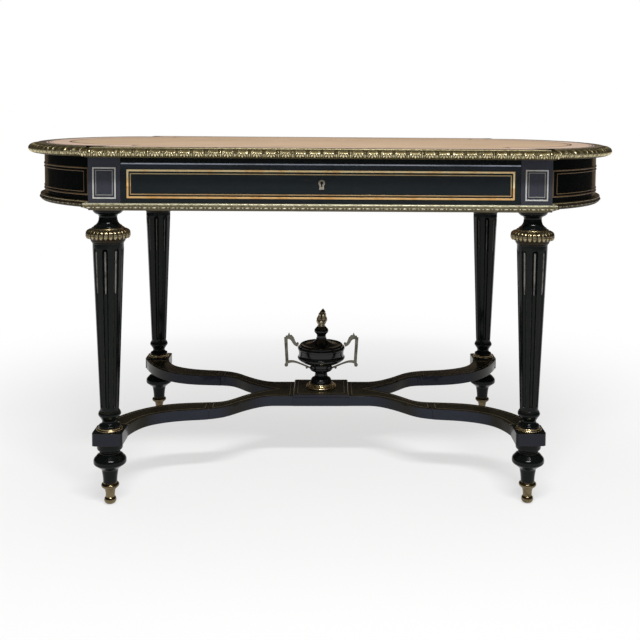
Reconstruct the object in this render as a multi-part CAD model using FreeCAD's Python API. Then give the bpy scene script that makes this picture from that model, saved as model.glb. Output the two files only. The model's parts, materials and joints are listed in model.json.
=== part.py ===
import FreeCAD
import Part
import math
import os

from FreeCAD import Vector

# Writing desk, millimetres. X runs along the desk, the drawer faces minus Y, Z is up.
# The origin is on the floor under the middle of the desk.

# Overall
desk_height = 760.0
carcase_length = 1298.0
carcase_depth = 660.0

# Top
top_thickness = 21.0
top_corner_beyond_leg = 17.0
top_front_overhang = 23.0
top_end_overhang = 6.0
top_corner_step = 40.0
leather_border = 16.0
leather_thickness = 1.5
top_moulding_width = 22.0
# Outward distance and height above the underside; four values are an arc through a point.
top_moulding_profile = (
    (0.0, 0.0), (9.0, 0.0), (12.4, 0.8), (19.4, 4.0, 22.0, 10.0), (18.8, 16.2, 7.6, 18.4),
    (7.2, 17.4), (5.4, 17.4), (5.4, 18.4), (4.64, 20.24, 2.8, 21.0), (0.0, 21.0),
)

# Carcase
back_thickness = 22.0
corner_block_side = 66.0
leg_to_end = 204.0
frieze_height = 110.0
end_setback = 18.0
end_wood = 20.0
rail_depth = 50.0
bottom_rail_height = 15.0
top_rail_height = 11.5
lower_moulding_width = 12.0
lower_moulding_profile = (
    (0.0, 0.0), (4.4, 0.0), (6.4, 0.4), (8.0, 1.2, 8.8, 2.4), (9.4, 2.4), (12.0, 5.6, 9.4, 8.8),
    (7.4, 9.2), (6.4, 10.6, 8.0, 12.4), (9.4, 12.8), (9.4, 14.4), (8.6, 15.0), (0.0, 15.0),
)

# Legs
leg_spigot_radius = 14.0
leg_spigot_length = 35.0
spigot_end_gap = 1.0
leg_block_side = 63.5
leg_block_bottom = 134.0
leg_block_height = 26.0
leg_block_corner = 8.5
block_neck_radius = 27.4
block_ring_height = 6.4
block_ring_seat_radius = 20.5
block_ring_lip_radius = 21.2
waist_height = 46.0
shaft_bottom_radius = 19.5
shaft_top_radius = 32.0
shoulder_height = 12.5
shoulder_radius = 33.0
collar_height = 30.0
collar_seat_radius = 26.0
neck_height = 38.5
neck_base_radius = 28.8
neck_top_radius = 31.6
# Turned stretches, radius and height above the foot, the block, the shaft and the collar
lower_leg_profile = (
    (15.3, 13.0, 16.9, 23.5), (17.6, 27.2, 19.4, 30.2), (21.8, 32.0), (30.6, 39.0),
    (33.6, 41.8, 34.2, 45.8), (33.8, 50.6, 31.4, 54.4), (26.2, 60.0), (25.0, 60.4),
    (21.2, 63.4), (21.4, 65.2, 19.8, 66.8), (19.6, 69.0), (24.8, 71.0, 26.8, 77.0),
)
waist_profile = (
    (22.4, 7.4), (22.8, 9.8, 21.0, 12.2), (19.8, 12.8), (17.0, 15.2, 15.8, 18.8), (15.8, 20.4),
    (16.6, 22.4), (21.4, 30.2), (23.6, 33.8, 23.2, 37.4), (22.2, 39.4), (21.0, 39.8),
    (20.8, 42.0, 19.7, 42.8),
)
shoulder_profile = ((32.0, 9.0), (33.0, 10.5))
neck_profile = (
    (29.4, 1.7, 28.2, 3.5), (27.0, 4.3), (21.4, 10.1, 19.0, 18.7), (19.2, 24.1, 21.6, 27.1),
    (28.0, 30.5, 31.0, 34.5),
)
flute_count = 8
flute_low_gap = 7.5
flute_high_gap = 6.0
flute_bottom_radius = 3.9
flute_top_radius = 6.2
flute_rod_radius = 2.1
flute_rod_length = 86.5
flute_rod_tip = 13.0
flute_rod_tip_radius = 1.2
flute_rod_top_gap = 1.5
rod_seat = 0.1

# Brass on the legs, radius and height above the underside of each piece
collar_profile = (
    (35.6, 1.5, 37.0, 4.5), (44.4, 9.1, 45.7, 16.0), (44.2, 22.5, 37.8, 26.5), (33.8, 27.7),
    (33.2, 29.6, 31.2, 29.9), (29.8, 29.1), (29.0, 29.9),
)
block_ring_profile = (
    (26.5, 0.0), (27.2, 2.4, 25.2, 4.0), (23.6, 4.2), (23.2, 6.2, 21.2, 6.3),
)
foot_height = 47.0
foot_seat_radius = 14.5
foot_spigot_radius = 7.0
foot_spigot_length = 23.0
foot_profile = (
    (0.0, 0.0), (5.0, 0.0), (12.6, 7.0, 9.9, 15.6), (9.6, 17.2), (9.8, 24.0), (11.2, 31.0),
    (12.0, 33.4, 14.6, 34.6), (15.2, 36.0), (18.8, 40.6, 15.6, 45.2), (14.8, 45.8),
)

# Stretcher
stretcher_thickness = 24.0
stretcher_half_width = 60.0
stretcher_flat_x = 115.0
stretcher_fork_x = 66.0
stretcher_crotch_x = 117.0
stretcher_into_block = 6.0
# Where an arm's two edges meet the block, from the leg's axis
arm_outer_end_x = 31.5
arm_inner_end_x = 28.0
arm_end_y = 32.0
# Plan points of one quarter as shares of the leg's two distances from the middle
arm_seam_share = 0.573
arm_outer_shares = (
    (0.315, 0.229), (0.360, 0.276), (0.427, 0.374), (0.494, 0.475), (0.573, 0.529),
    (0.674, 0.556), (0.762, 0.593), (0.820, 0.636), (0.865, 0.690), (0.906, 0.788),
)
arm_inner_shares = (
    (0.337, 0.074), (0.405, 0.165), (0.456, 0.256), (0.508, 0.327), (0.573, 0.354),
    (0.674, 0.370), (0.775, 0.401), (0.865, 0.468), (0.937, 0.562), (1.002, 0.694), (1.034, 0.785),
)
platform_height = 5.0
platform_half_length = 66.0
platform_half_width = 63.0
platform_chamfer = 2.0

# Urn
urn_spigot_radius = 8.0
urn_spigot_length = 18.0
urn_base_height = 11.5
urn_base_lip_radius = 28.2
urn_body_height = 88.9
urn_lid_height = 50.0
urn_finial_height = 43.0
urn_finial_foot_radius = 9.2
# Radius and height above the underside of each piece
urn_base_profile = (
    (34.2, 0.0), (36.6, 2.6, 34.0, 5.2), (32.6, 5.6), (28.6, 6.2, 27.4, 8.0), (28.4, 8.4),
    (29.6, 10.0, 28.2, 11.4),
)
urn_body_profile = (
    (24.6, 0.0), (24.8, 7.1), (23.6, 9.5, 21.0, 12.1), (16.2, 15.9, 15.2, 21.1),
    (15.4, 25.5, 19.0, 28.1), (25.6, 30.9, 28.4, 35.1), (28.4, 36.9), (26.6, 38.5), (26.4, 41.9),
    (27.2, 45.6), (43.8, 50.7, 55.4, 58.9), (57.4, 62.5, 55.4, 66.1), (54.2, 71.5, 54.6, 76.5),
    (55.6, 81.5), (57.2, 84.7, 56.4, 87.9),
)
urn_lid_profile = (
    (52.6, 0.0), (52.2, 3.8, 49.2, 6.2), (47.6, 5.8), (27.4, 7.2, 13.4, 16.2), (12.2, 17.6),
    (12.6, 20.0, 11.2, 21.6), (11.0, 26.6), (11.8, 30.0), (15.4, 33.6), (17.2, 38.6, 15.2, 43.6),
    (11.4, 47.6),
)
finial_profile = ((11.0, 5.6, 13.6, 10.6), (14.0, 16.6, 11.0, 22.6), (9.4, 26.6), (8.6, 32.6, 4.0, 38.6))
urn_lip_radius = 53.6
handle_thickness = 5.6
# Outward distance, height above the platform and width of the flat handle bar
handle_bar = ((85.9, 122.0, 8.4), (85.2, 102.0, 7.6), (84.0, 82.0, 7.4), (82.9, 59.0, 7.4))
handle_hook = (
    (86.0, 121.0, 8.6), (79.0, 122.2, 8.0), (71.4, 119.4, 9.4), (66.4, 110.4, 7.6), (61.4, 104.2, 6.0),
    (57.0, 101.9, 5.2),
)
handle_strut = (
    (83.6, 60.0, 6.6), (75.0, 62.4, 5.2), (66.0, 62.2, 4.2), (56.0, 59.4, 3.4), (44.0, 54.6, 3.0),
    (28.2, 47.8, 3.0),
)
# Outward distance, height above the platform and radius of the round ends of the handle
handle_rounds = ((84.6, 54.6, 4.4), (57.6, 106.4, 3.0), (35.0, 48.0, 2.8))
handle_crest = ((83.6, 124.0), (81.4, 127.4), (78.4, 134.0), (75.6, 127.0), (72.0, 127.4), (68.0, 122.0))

# Drawer
drawer_side_gap = 0.75
drawer_gap_below = 0.75
drawer_gap_above = 0.75
drawer_front_thickness = 22.0
drawer_side_thickness = 10.0
drawer_side_inset = 1.25
drawer_side_height = 66.0
drawer_depth = 480.0
drawer_back_thickness = 10.0
drawer_bottom_thickness = 6.0
drawer_bottom_rise = 8.0
drawer_groove = 4.0
runner_gap = 0.35
runner_shelf = 26.0
runner_height = 10.0
guide_gap = 0.5
guide_thickness = 16.0
kicker_width = 18.0
kicker_gap = 4.0

# Lock
lock_half_width = 25.0
lock_depth = 11.0
lock_height = 55.0
bolt_half_width = 7.0
bolt_thickness = 4.4
bolt_length = 26.0
bolt_gap = 0.3
bolt_top_gap = 0.7
bolt_channel_depth = 34.0
rail_mortise_depth = 9.5
rail_mortise_gap = 1.0
keyhole_rise = 58.6
keyhole_radius = 3.2
keyhole_slot_width = 3.0
keyhole_slot_drop = 8.5
keyhole_case_depth = 5.0
escutcheon_radius = 6.8
escutcheon_drop = 13.6
escutcheon_foot_width = 10.4
escutcheon_neck_width = 7.6
escutcheon_thickness = 2.0

# Brass fillet frames: distance in from the ends, bottom and top above the carcase's underside, strip width
fillet_thickness = 1.2
curved_fillet_seat = 0.15
drawer_fillets = ((12.0, 25.0, 84.5, 4.0), (18.75, 32.2, 77.0, 2.2))
block_fillets = ((9.2, 23.6, 88.6, 3.0), (15.3, 30.6, 83.0, 1.8))
# Angle in degrees from the block, bottom and top above the carcase's underside, strip width
end_fillets = ((2.7, 25.0, 84.5, 3.4), (4.9, 32.0, 77.0, 2.0))

# Candle slide in the right end
slide_thickness = 16.0
slide_half_width = 130.0
slide_drop = 24.0
slide_length = 209.0
slide_gap = 0.3
cradle_side = 20.0
cradle_floor = 10.0
eye_radius = 3.6
eye_wire_radius = 0.95
eye_stem_radius = 1.3
eye_stem_length = 10.0
eye_stem_gap = 0.05
eye_stand_off = 0.4

overrun = 5.0

up = Vector(0, 0, 1)
along = Vector(1, 0, 0)
across = Vector(0, 1, 0)
middle = Vector(0, 0, 0)
ends = {"left": -1, "right": 1}
sides = {"front": -1, "back": 1}
corners = {"front_left": (-1, -1), "front_right": (1, -1), "back_left": (-1, 1), "back_right": (1, 1)}

top_underside = desk_height - top_thickness
frieze_bottom = top_underside - frieze_height
block_half = corner_block_side / 2
tip_x = carcase_length / 2
carcase_front_y = carcase_depth / 2
leg_centre_x = tip_x - leg_to_end
leg_centre_y = carcase_front_y - block_half
block_inner_x = leg_centre_x - block_half
block_outer_x = leg_centre_x + block_half
block_inner_y = leg_centre_y - block_half
end_arc_radius = carcase_front_y - end_setback
end_arc_centre_x = tip_x - end_arc_radius
top_corner_x = leg_centre_x + top_corner_beyond_leg
top_front_y = carcase_front_y + top_front_overhang
top_end_reach = tip_x + top_end_overhang - top_corner_x
top_end_half_width = top_front_y - top_corner_step
leg_block_top = leg_block_bottom + leg_block_height
shaft_bottom = leg_block_top + waist_height
collar_top = frieze_bottom - neck_height
collar_bottom = collar_top - collar_height
shaft_top = collar_bottom - shoulder_height
stretcher_top = leg_block_bottom + stretcher_thickness
platform_top = stretcher_top + platform_height
slide_bottom = top_underside - slide_drop
keyhole_height = frieze_bottom + keyhole_rise


def save(name, shape):
    """Write one piece to its own file."""
    shape.exportStep(os.path.join("parts", name + ".step"))


def box(x_low, x_high, y_low, y_high, z_low, z_high):
    corner = Vector(x_low, y_low, z_low)
    return Part.makeBox(x_high - x_low, y_high - y_low, z_high - z_low, corner)


def section(points, place):
    """Closed face through a list of points; four values are an arc through a point."""
    here = place(*points[0])
    first = here
    edges = []
    for step in points[1:]:
        there = place(*step[-2:])
        if len(step) == 4:
            edges.append(Part.Arc(here, place(*step[:2]), there).toShape())
        else:
            edges.append(Part.makeLine(here, there))
        here = there
    edges.append(Part.makeLine(here, first))
    return Part.Face(Part.Wire(edges))


def turned(points):
    """Solid of revolution about the vertical axis through the origin."""
    face = section(points, lambda radius, height: Vector(radius, 0, height))
    return face.revolve(middle, up, 360)


def raised(points, base):
    """Profile lifted by a base height, which every second value of a point gets."""
    return tuple(
        tuple(value + base * (place % 2) for place, value in enumerate(point)) for point in points
    )


def turned_piece(seat_radius, profile, height, closing_radius, base):
    """Turned piece that stands on a base height and starts and ends at two radii."""
    points = ((seat_radius, 0),) + profile + ((closing_radius, height), (seat_radius, height))
    return turned(raised(points, base))


def flipped(shape, x_sign, y_sign):
    """Mirror a shape made for the right and back into the wanted quarter."""
    if x_sign < 0:
        shape = shape.mirror(middle, along)
    if y_sign < 0:
        shape = shape.mirror(middle, across)
    return shape


def at_leg(shape, x_sign, y_sign):
    moved = shape.copy()
    moved.translate(Vector(leg_centre_x, leg_centre_y, 0))
    return flipped(moved, x_sign, y_sign)


def oval_disc(centre_x, reach, half_width, bottom, height):
    """Upright elliptical solid, its longer half axis across the desk."""
    centre = Vector(centre_x, 0, bottom)
    curve = Part.Ellipse(centre + across * half_width, centre + along * reach, centre)
    return Part.Face(Part.Wire(curve.toShape())).extrude(up * height)


def top_plate(inset, bottom, height):
    """Outline of the top, drawn in by the inset, as a solid."""
    corner_x = top_corner_x - inset
    front_y = top_front_y - inset
    plate = box(-corner_x, corner_x, -front_y, front_y, bottom, bottom + height)
    for sign in ends.values():
        disc = oval_disc(sign * corner_x, top_end_reach, top_end_half_width - inset, bottom, height)
        plate = plate.fuse(disc)
    return plate.removeSplitter()


def carcase_plate(outset, bottom, height):
    """Outline of the carcase, pushed out by the outset, as a solid."""
    corner_x = block_outer_x + outset
    front_y = carcase_front_y + outset
    plate = box(-corner_x, corner_x, -front_y, front_y, bottom, bottom + height)
    for sign in ends.values():
        centre = Vector(sign * end_arc_centre_x, 0, bottom)
        plate = plate.fuse(Part.makeCylinder(end_arc_radius + outset, height, centre))
    return plate.removeSplitter()


def straight_moulding(profile, corner_x, front_y, return_y, bottom):
    """Back length with a mitred return at each end."""
    path = Part.makePolygon([
        Vector(-corner_x, return_y, bottom), Vector(-corner_x, front_y, bottom),
        Vector(corner_x, front_y, bottom), Vector(corner_x, return_y, bottom),
    ])
    face = section(profile, lambda out, height: Vector(-corner_x - out, return_y, bottom + height))
    return path.makePipeShell([face.OuterWire], True, False, 1)


def clear_inside(shape, corner_x):
    """Cut an end moulding off where the returns stand."""
    around_it = shape.BoundBox
    around_it.enlarge(overrun)
    return shape.cut(box(
        around_it.XMin, corner_x, around_it.YMin, around_it.YMax, around_it.ZMin, around_it.ZMax
    ))


def frame(panel_half_length, inset, rise, top_rise, strip):
    """Rectangular frame in the plane of X and Z, standing toward minus Y."""
    half = panel_half_length - inset
    low = frieze_bottom + rise
    high = frieze_bottom + top_rise
    outer = box(-half, half, -fillet_thickness, 0, low, high)
    hole = box(
        strip - half, half - strip, -fillet_thickness - overrun, overrun, low + strip, high - strip
    )
    return outer.cut(hole)


def curve_through(points):
    curve = Part.BSplineCurve()
    curve.interpolate([Vector(x, y, 0) for x, y in points])
    return curve.toShape()


def ribbon(stations, thickness):
    """Flat bar in the plane of X and Z whose width changes from station to station."""
    left, right = [], []
    for place, (x, z, width) in enumerate(stations):
        before = stations[max(place - 1, 0)]
        after = stations[min(place + 1, len(stations) - 1)]
        heading = Vector(after[0] - before[0], 0, after[1] - before[1]).normalize()
        normal = Vector(-heading.z, 0, heading.x) * (width / 2)
        left.append(Vector(x, -thickness / 2, z) + normal)
        right.append(Vector(x, -thickness / 2, z) - normal)
    edges = []
    for side in (left, right):
        curve = Part.BSplineCurve()
        curve.interpolate(side)
        edges.append(curve.toShape())
    edges.append(Part.makeLine(left[0], right[0]))
    edges.append(Part.makeLine(left[-1], right[-1]))
    return Part.Face(Part.Wire(Part.__sortEdges__(edges))).extrude(across * thickness)


# Top panel with a recess for the leather, and the leather itself
def build_top():
    panel = top_plate(0, top_underside, top_thickness)
    leather = top_plate(leather_border, desk_height - leather_thickness, leather_thickness)
    save("top_panel", panel.cut(leather))
    save("leather_top", leather)
    run = straight_moulding(
        top_moulding_profile, top_corner_x, top_front_y, top_end_half_width - overrun, top_underside
    ).cut(panel)
    for name, sign in sides.items():
        save("top_moulding_" + name, flipped(run, 1, sign))
    curve = Part.Ellipse(
        Vector(top_corner_x, top_end_half_width, top_underside),
        Vector(top_corner_x + top_end_reach, 0, top_underside),
        Vector(top_corner_x, 0, top_underside),
    )
    half = [curve.toShape(0, math.pi), curve.toShape(math.pi, 2 * math.pi)]
    path = max(half, key=lambda edge: edge.BoundBox.XMax)
    start = path.Vertexes[0].Point
    sign = 1 if start.y > 0 else -1
    face = section(
        top_moulding_profile, lambda out, height: start + across * (sign * out) + up * height
    )
    end_run = Part.Wire(path).makePipeShell([face.OuterWire], True, False)
    end_run = clear_inside(end_run, top_corner_x + top_moulding_width)
    for name, sign in ends.items():
        save("top_moulding_" + name, flipped(end_run, sign, 1))


# Corner blocks, rails and friezes
def build_carcase():
    leg_head = Vector(leg_centre_x, leg_centre_y, frieze_bottom)
    spigot = Part.makeCylinder(leg_spigot_radius, leg_spigot_length + spigot_end_gap, leg_head)
    block = box(
        block_inner_x, block_outer_x, block_inner_y, carcase_front_y, frieze_bottom, top_underside
    ).cut(spigot)
    for name, signs in corners.items():
        save("corner_block_" + name, flipped(block, *signs))
    rail_back_y = rail_depth - carcase_front_y
    rail_top = frieze_bottom + bottom_rail_height
    save("front_bottom_rail", box(
        -block_inner_x, block_inner_x, -carcase_front_y, rail_back_y, frieze_bottom, rail_top
    ))
    rail_bottom = top_underside - top_rail_height
    top_rail = box(
        -block_inner_x, block_inner_x, -carcase_front_y, rail_back_y, rail_bottom, top_underside
    )
    bolt_back_y, bolt_front_y = bolt_faces()
    mortise = box(
        -bolt_half_width - rail_mortise_gap, bolt_half_width + rail_mortise_gap,
        bolt_front_y - rail_mortise_gap, bolt_back_y + rail_mortise_gap,
        rail_bottom - overrun, rail_bottom + rail_mortise_depth,
    )
    save("front_top_rail", top_rail.cut(mortise))
    save("back_frieze", box(
        -block_inner_x, block_inner_x, carcase_front_y - back_thickness, carcase_front_y,
        frieze_bottom, top_underside,
    ))
    centre = Vector(end_arc_centre_x, 0, frieze_bottom)
    frieze = Part.makeCylinder(end_arc_radius, frieze_height, centre)
    frieze = frieze.cut(Part.makeCylinder(end_arc_radius - end_wood, frieze_height, centre))
    frieze = clear_inside(frieze, block_outer_x)
    save("end_frieze_left", flipped(frieze, -1, 1))
    save("end_frieze_right", frieze.cut(slide_passage()))


# Brass moulding round the foot of the carcase
def build_lower_mouldings():
    core = carcase_plate(0, frieze_bottom - overrun, frieze_height)
    reach = end_arc_radius + lower_moulding_width
    half_angle = math.degrees(math.acos((block_outer_x + lower_moulding_width - end_arc_centre_x) / reach))
    low_centre = Vector(end_arc_centre_x, 0, frieze_bottom - overrun)
    sector = Part.makeCylinder(reach + overrun, frieze_height, low_centre, up, 2 * half_angle)
    sector.rotate(low_centre, up, -half_angle)
    run = straight_moulding(
        lower_moulding_profile, block_outer_x, carcase_front_y, block_inner_y, frieze_bottom
    ).cut([core, sector, flipped(sector, -1, 1)])
    for name, sign in sides.items():
        save("lower_moulding_" + name, flipped(run, 1, sign))
    face = section(lower_moulding_profile, lambda out, height: Vector(
        end_arc_centre_x + end_arc_radius + out, 0, frieze_bottom + height
    ))
    face.rotate(low_centre, up, -half_angle)
    end_run = face.revolve(low_centre, up, 2 * half_angle)
    for name, sign in ends.items():
        save("lower_moulding_" + name, flipped(end_run, sign, 1))


# Runners, guides and kickers for the drawer
def build_runners():
    side_face_x = drawer_half_length() - drawer_side_inset
    guide_x = side_face_x + guide_gap
    shelf_top = frieze_bottom + bottom_rail_height + drawer_gap_below - runner_gap
    side_top = frieze_bottom + bottom_rail_height + drawer_gap_below + drawer_side_height
    shelf = box(
        guide_x - runner_shelf, guide_x, -block_inner_y, block_inner_y, shelf_top - runner_height, shelf_top
    )
    guide = box(
        guide_x, guide_x + guide_thickness, -block_inner_y, block_inner_y,
        shelf_top - runner_height, top_underside,
    )
    kicker = box(
        guide_x - kicker_width, guide_x, -block_inner_y, block_inner_y, side_top + kicker_gap, top_underside
    )
    runner = shelf.fuse([guide, kicker]).removeSplitter()
    save("drawer_runners", Part.Compound([runner, flipped(runner, -1, 1)]))


def drawer_half_length():
    return block_inner_x - drawer_side_gap


def bolt_faces():
    """Back and front faces of the lock bolt across the desk."""
    inner_y = drawer_front_thickness - carcase_front_y
    middle_y = inner_y - lock_depth / 2
    return middle_y + bolt_thickness / 2, middle_y - bolt_thickness / 2


def keyhole(front_y, back_y):
    """Round hole with a slot below it, running across the desk."""
    round_hole = Part.makeCylinder(
        keyhole_radius, back_y - front_y, Vector(0, front_y, keyhole_height), across
    )
    slot = box(
        -keyhole_slot_width / 2, keyhole_slot_width / 2, front_y, back_y,
        keyhole_height - keyhole_slot_drop, keyhole_height,
    )
    return round_hole.fuse(slot)


# Drawer with its lock and brass
def build_drawer():
    half = drawer_half_length()
    front_y = -carcase_front_y
    inner_y = front_y + drawer_front_thickness
    low = frieze_bottom + bottom_rail_height + drawer_gap_below
    high = top_underside - top_rail_height - drawer_gap_above
    side_outer = half - drawer_side_inset
    side_inner = side_outer - drawer_side_thickness
    rear_y = inner_y + drawer_depth
    board_low = low + drawer_bottom_rise
    board_high = board_low + drawer_bottom_thickness
    board = box(
        -side_inner - drawer_groove, side_inner + drawer_groove, inner_y - drawer_groove, rear_y,
        board_low, board_high,
    )
    pocket = box(
        -lock_half_width, lock_half_width, inner_y - lock_depth, inner_y + overrun,
        high - lock_height, high + overrun,
    )
    front = box(-half, half, front_y, inner_y, low, high).cut([
        board, pocket, keyhole(front_y - overrun, inner_y),
    ])
    save("drawer_front", front)
    side = box(side_inner, side_outer, inner_y, rear_y, low, low + drawer_side_height).cut(board)
    for name, sign in ends.items():
        save("drawer_side_" + name, flipped(side, sign, 1))
    save("drawer_back", box(
        -side_inner, side_inner, rear_y - drawer_back_thickness, rear_y, board_high, low + drawer_side_height
    ))
    save("drawer_bottom", board)
    bolt_back_y, bolt_front_y = bolt_faces()
    channel = box(
        -bolt_half_width - bolt_gap, bolt_half_width + bolt_gap, bolt_front_y - bolt_gap,
        bolt_back_y + bolt_gap, high - bolt_channel_depth, high + overrun,
    )
    case = box(
        -lock_half_width, lock_half_width, inner_y - lock_depth, inner_y, high - lock_height, high
    )
    key_front_y = inner_y - lock_depth
    save("drawer_lock_case", case.cut([
        channel, keyhole(key_front_y - overrun, key_front_y + keyhole_case_depth),
    ]))
    save("drawer_lock_bolt", box(
        -bolt_half_width, bolt_half_width, bolt_front_y, bolt_back_y,
        high - bolt_top_gap - bolt_length, high - bolt_top_gap,
    ))
    save("drawer_escutcheon", escutcheon(front_y))
    frames = [frame(half, *size) for size in drawer_fillets]
    for strip in frames:
        strip.translate(across * front_y)
    save("drawer_fillets", Part.Compound(frames))


def escutcheon(front_y):
    """Keyhole plate: a ring with a flared foot below it."""
    face_y = front_y - escutcheon_thickness
    ring = Part.makeCylinder(
        escutcheon_radius, escutcheon_thickness, Vector(0, face_y, keyhole_height), across
    )
    foot_z = keyhole_height - escutcheon_drop
    foot = Part.Face(Part.makePolygon([
        Vector(-escutcheon_neck_width / 2, face_y, keyhole_height),
        Vector(escutcheon_neck_width / 2, face_y, keyhole_height),
        Vector(escutcheon_foot_width / 2, face_y, foot_z),
        Vector(-escutcheon_foot_width / 2, face_y, foot_z),
        Vector(-escutcheon_neck_width / 2, face_y, keyhole_height),
    ])).extrude(across * escutcheon_thickness)
    return ring.fuse(foot).removeSplitter().cut(keyhole(face_y - overrun, front_y + overrun))


# Brass frames on the blocks, the back and the curved ends
def build_carcase_fillets():
    strips = []
    for size in block_fillets:
        strip = frame(block_half, *size)
        strip.translate(Vector(leg_centre_x, -carcase_front_y, 0))
        for signs in corners.values():
            strips.append(flipped(strip, *signs))
    for size in drawer_fillets:
        strip = frame(drawer_half_length(), *size)
        strip.translate(across * -carcase_front_y)
        strips.append(flipped(strip, 1, -1))
    for size in end_fillets:
        strip = curved_frame(*size)
        strips.extend([strip, flipped(strip, -1, 1)])
    save("carcase_fillets", Part.Compound(strips))


def curved_frame(angle_from_block, rise, top_rise, strip):
    """Frame bent round the right end of the carcase."""
    panel_half_angle = math.degrees(math.acos((block_outer_x - end_arc_centre_x) / end_arc_radius))
    half_angle = panel_half_angle - angle_from_block
    strip_angle = math.degrees(strip / end_arc_radius)
    low = frieze_bottom + rise
    high = frieze_bottom + top_rise
    outer = curved_plate(half_angle, low, high)
    return outer.cut(curved_plate(half_angle - strip_angle, low + strip, high - strip))


def curved_plate(half_angle, low, high):
    foot_x = end_arc_centre_x + end_arc_radius + curved_fillet_seat
    face = section(
        ((0, low), (fillet_thickness, low), (fillet_thickness, high), (0, high)),
        lambda out, height: Vector(foot_x + out, 0, height),
    )
    centre = Vector(end_arc_centre_x, 0, 0)
    face.rotate(centre, up, -half_angle)
    return face.revolve(centre, up, 2 * half_angle)


def slide_passage():
    """Hole for the candle slide through the right end."""
    low = slide_bottom - slide_gap
    high = slide_bottom + slide_thickness + slide_gap
    half = slide_half_width + slide_gap
    outer_x = end_arc_centre_x + end_arc_radius + overrun
    return box(tip_x - slide_length, outer_x, -half, half, low, high)


# Candle slide, its ring and its cradle
def build_slide():
    centre = Vector(end_arc_centre_x, 0, frieze_bottom)
    outside = Part.makeCylinder(end_arc_radius, frieze_height, centre)
    inside = Part.makeCylinder(end_arc_radius - end_wood, frieze_height, centre)
    board = box(
        tip_x - slide_length, tip_x + overrun, -slide_half_width, slide_half_width,
        slide_bottom, slide_bottom + slide_thickness,
    ).common(outside)
    stem_z = slide_bottom + slide_thickness / 2
    wire_x = tip_x + eye_stand_off + eye_wire_radius
    stem_start_x = tip_x - eye_stem_length
    stem = Part.makeCylinder(
        eye_stem_radius, wire_x - stem_start_x, Vector(stem_start_x, 0, stem_z), along
    )
    bore = Part.makeCylinder(
        eye_stem_radius + eye_stem_gap, eye_stem_length + eye_stem_gap + overrun,
        Vector(stem_start_x - eye_stem_gap, 0, stem_z), along,
    )
    save("candle_slide", board.cut(bore))
    ring = Part.makeTorus(eye_radius, eye_wire_radius, middle, across)
    ring.translate(Vector(wire_x + eye_radius, 0, stem_z))
    save("candle_slide_ring", ring.fuse(stem))
    half = slide_half_width + slide_gap
    wall_x = drawer_half_length() - drawer_side_inset + guide_gap + guide_thickness
    low = slide_bottom - slide_gap - cradle_floor
    body = box(wall_x, tip_x, -half - cradle_side, half + cradle_side, low, top_underside)
    trough = box(wall_x - overrun, tip_x, -half, half, slide_bottom - slide_gap, top_underside + overrun)
    save("slide_cradle", body.cut(trough).common(inside))


# Turned legs with flutes, stretcher blocks and brass
def shaft_radius(height):
    """Radius of the tapered shaft at a height."""
    share = (height - shaft_bottom) / (shaft_top - shaft_bottom)
    return shaft_bottom_radius + (shaft_top_radius - shaft_bottom_radius) * share


def flute_ends():
    return shaft_bottom + flute_low_gap, shaft_top - flute_high_gap


def flute_radius(height):
    low, high = flute_ends()
    share = (height - low) / (high - low)
    return flute_bottom_radius + (flute_top_radius - flute_bottom_radius) * share


def flute_cutter():
    """Tapered gouge with round ends that lies along the shaft."""
    low, high = [Vector(shaft_radius(height), 0, height) for height in flute_ends()]
    heading = high - low
    cone = Part.makeCone(flute_bottom_radius, flute_top_radius, heading.Length, low, heading)
    balls = [Part.makeSphere(flute_bottom_radius, low), Part.makeSphere(flute_top_radius, high)]
    return cone.fuse(balls)


def flute_rod():
    """Metal rod lying in the upper part of a flute, with a pointed lower end."""
    rod_top = flute_ends()[1] - flute_rod_top_gap
    rod_bottom = rod_top - flute_rod_length
    places = []
    for height in (rod_bottom, rod_bottom + flute_rod_tip, rod_top):
        sink = shaft_radius(height) - flute_radius(height) + flute_rod_radius + rod_seat
        places.append(Vector(sink, 0, height))
    tip, low, high = places
    point = Part.makeCone(flute_rod_tip_radius, flute_rod_radius, (low - tip).Length, tip, low - tip)
    bar = Part.makeCylinder(flute_rod_radius, (high - low).Length, low, high - low)
    ball = Part.makeSphere(flute_rod_radius, high)
    return bar.fuse([point, ball])


def around(shape, count):
    copies = []
    for number in range(count):
        copy = shape.copy()
        copy.rotate(middle, up, number * 360 / count)
        copies.append(copy)
    return copies


def turned_lower_leg():
    """Turning between the brass foot and the block, with a spigot in the foot."""
    spigot_end = foot_height - foot_spigot_length
    start = (
        (0, spigot_end), (foot_spigot_radius, spigot_end), (foot_spigot_radius, foot_height),
        (foot_seat_radius, foot_height),
    )
    finish = ((block_neck_radius, leg_block_bottom), (0, leg_block_bottom))
    return turned(start + raised(lower_leg_profile, foot_height) + finish)


def turned_upper_leg():
    """Turning from the block to the corner block, with a seat for the collar and a spigot on top."""
    spigot_top = frieze_bottom + leg_spigot_length
    return turned(
        (
            (0, leg_block_top), (block_ring_seat_radius, leg_block_top),
            (block_ring_seat_radius, leg_block_top + block_ring_height),
        )
        + raised(waist_profile, leg_block_top)
        + ((shaft_bottom_radius, shaft_bottom), (shaft_top_radius, shaft_top))
        + raised(shoulder_profile, shaft_top)
        + (
            (shoulder_radius, collar_bottom), (collar_seat_radius, collar_bottom),
            (collar_seat_radius, collar_top), (neck_base_radius, collar_top),
        )
        + raised(neck_profile, collar_top)
        + (
            (neck_top_radius, frieze_bottom), (leg_spigot_radius, frieze_bottom),
            (leg_spigot_radius, spigot_top), (0, spigot_top),
        )
    )


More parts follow.
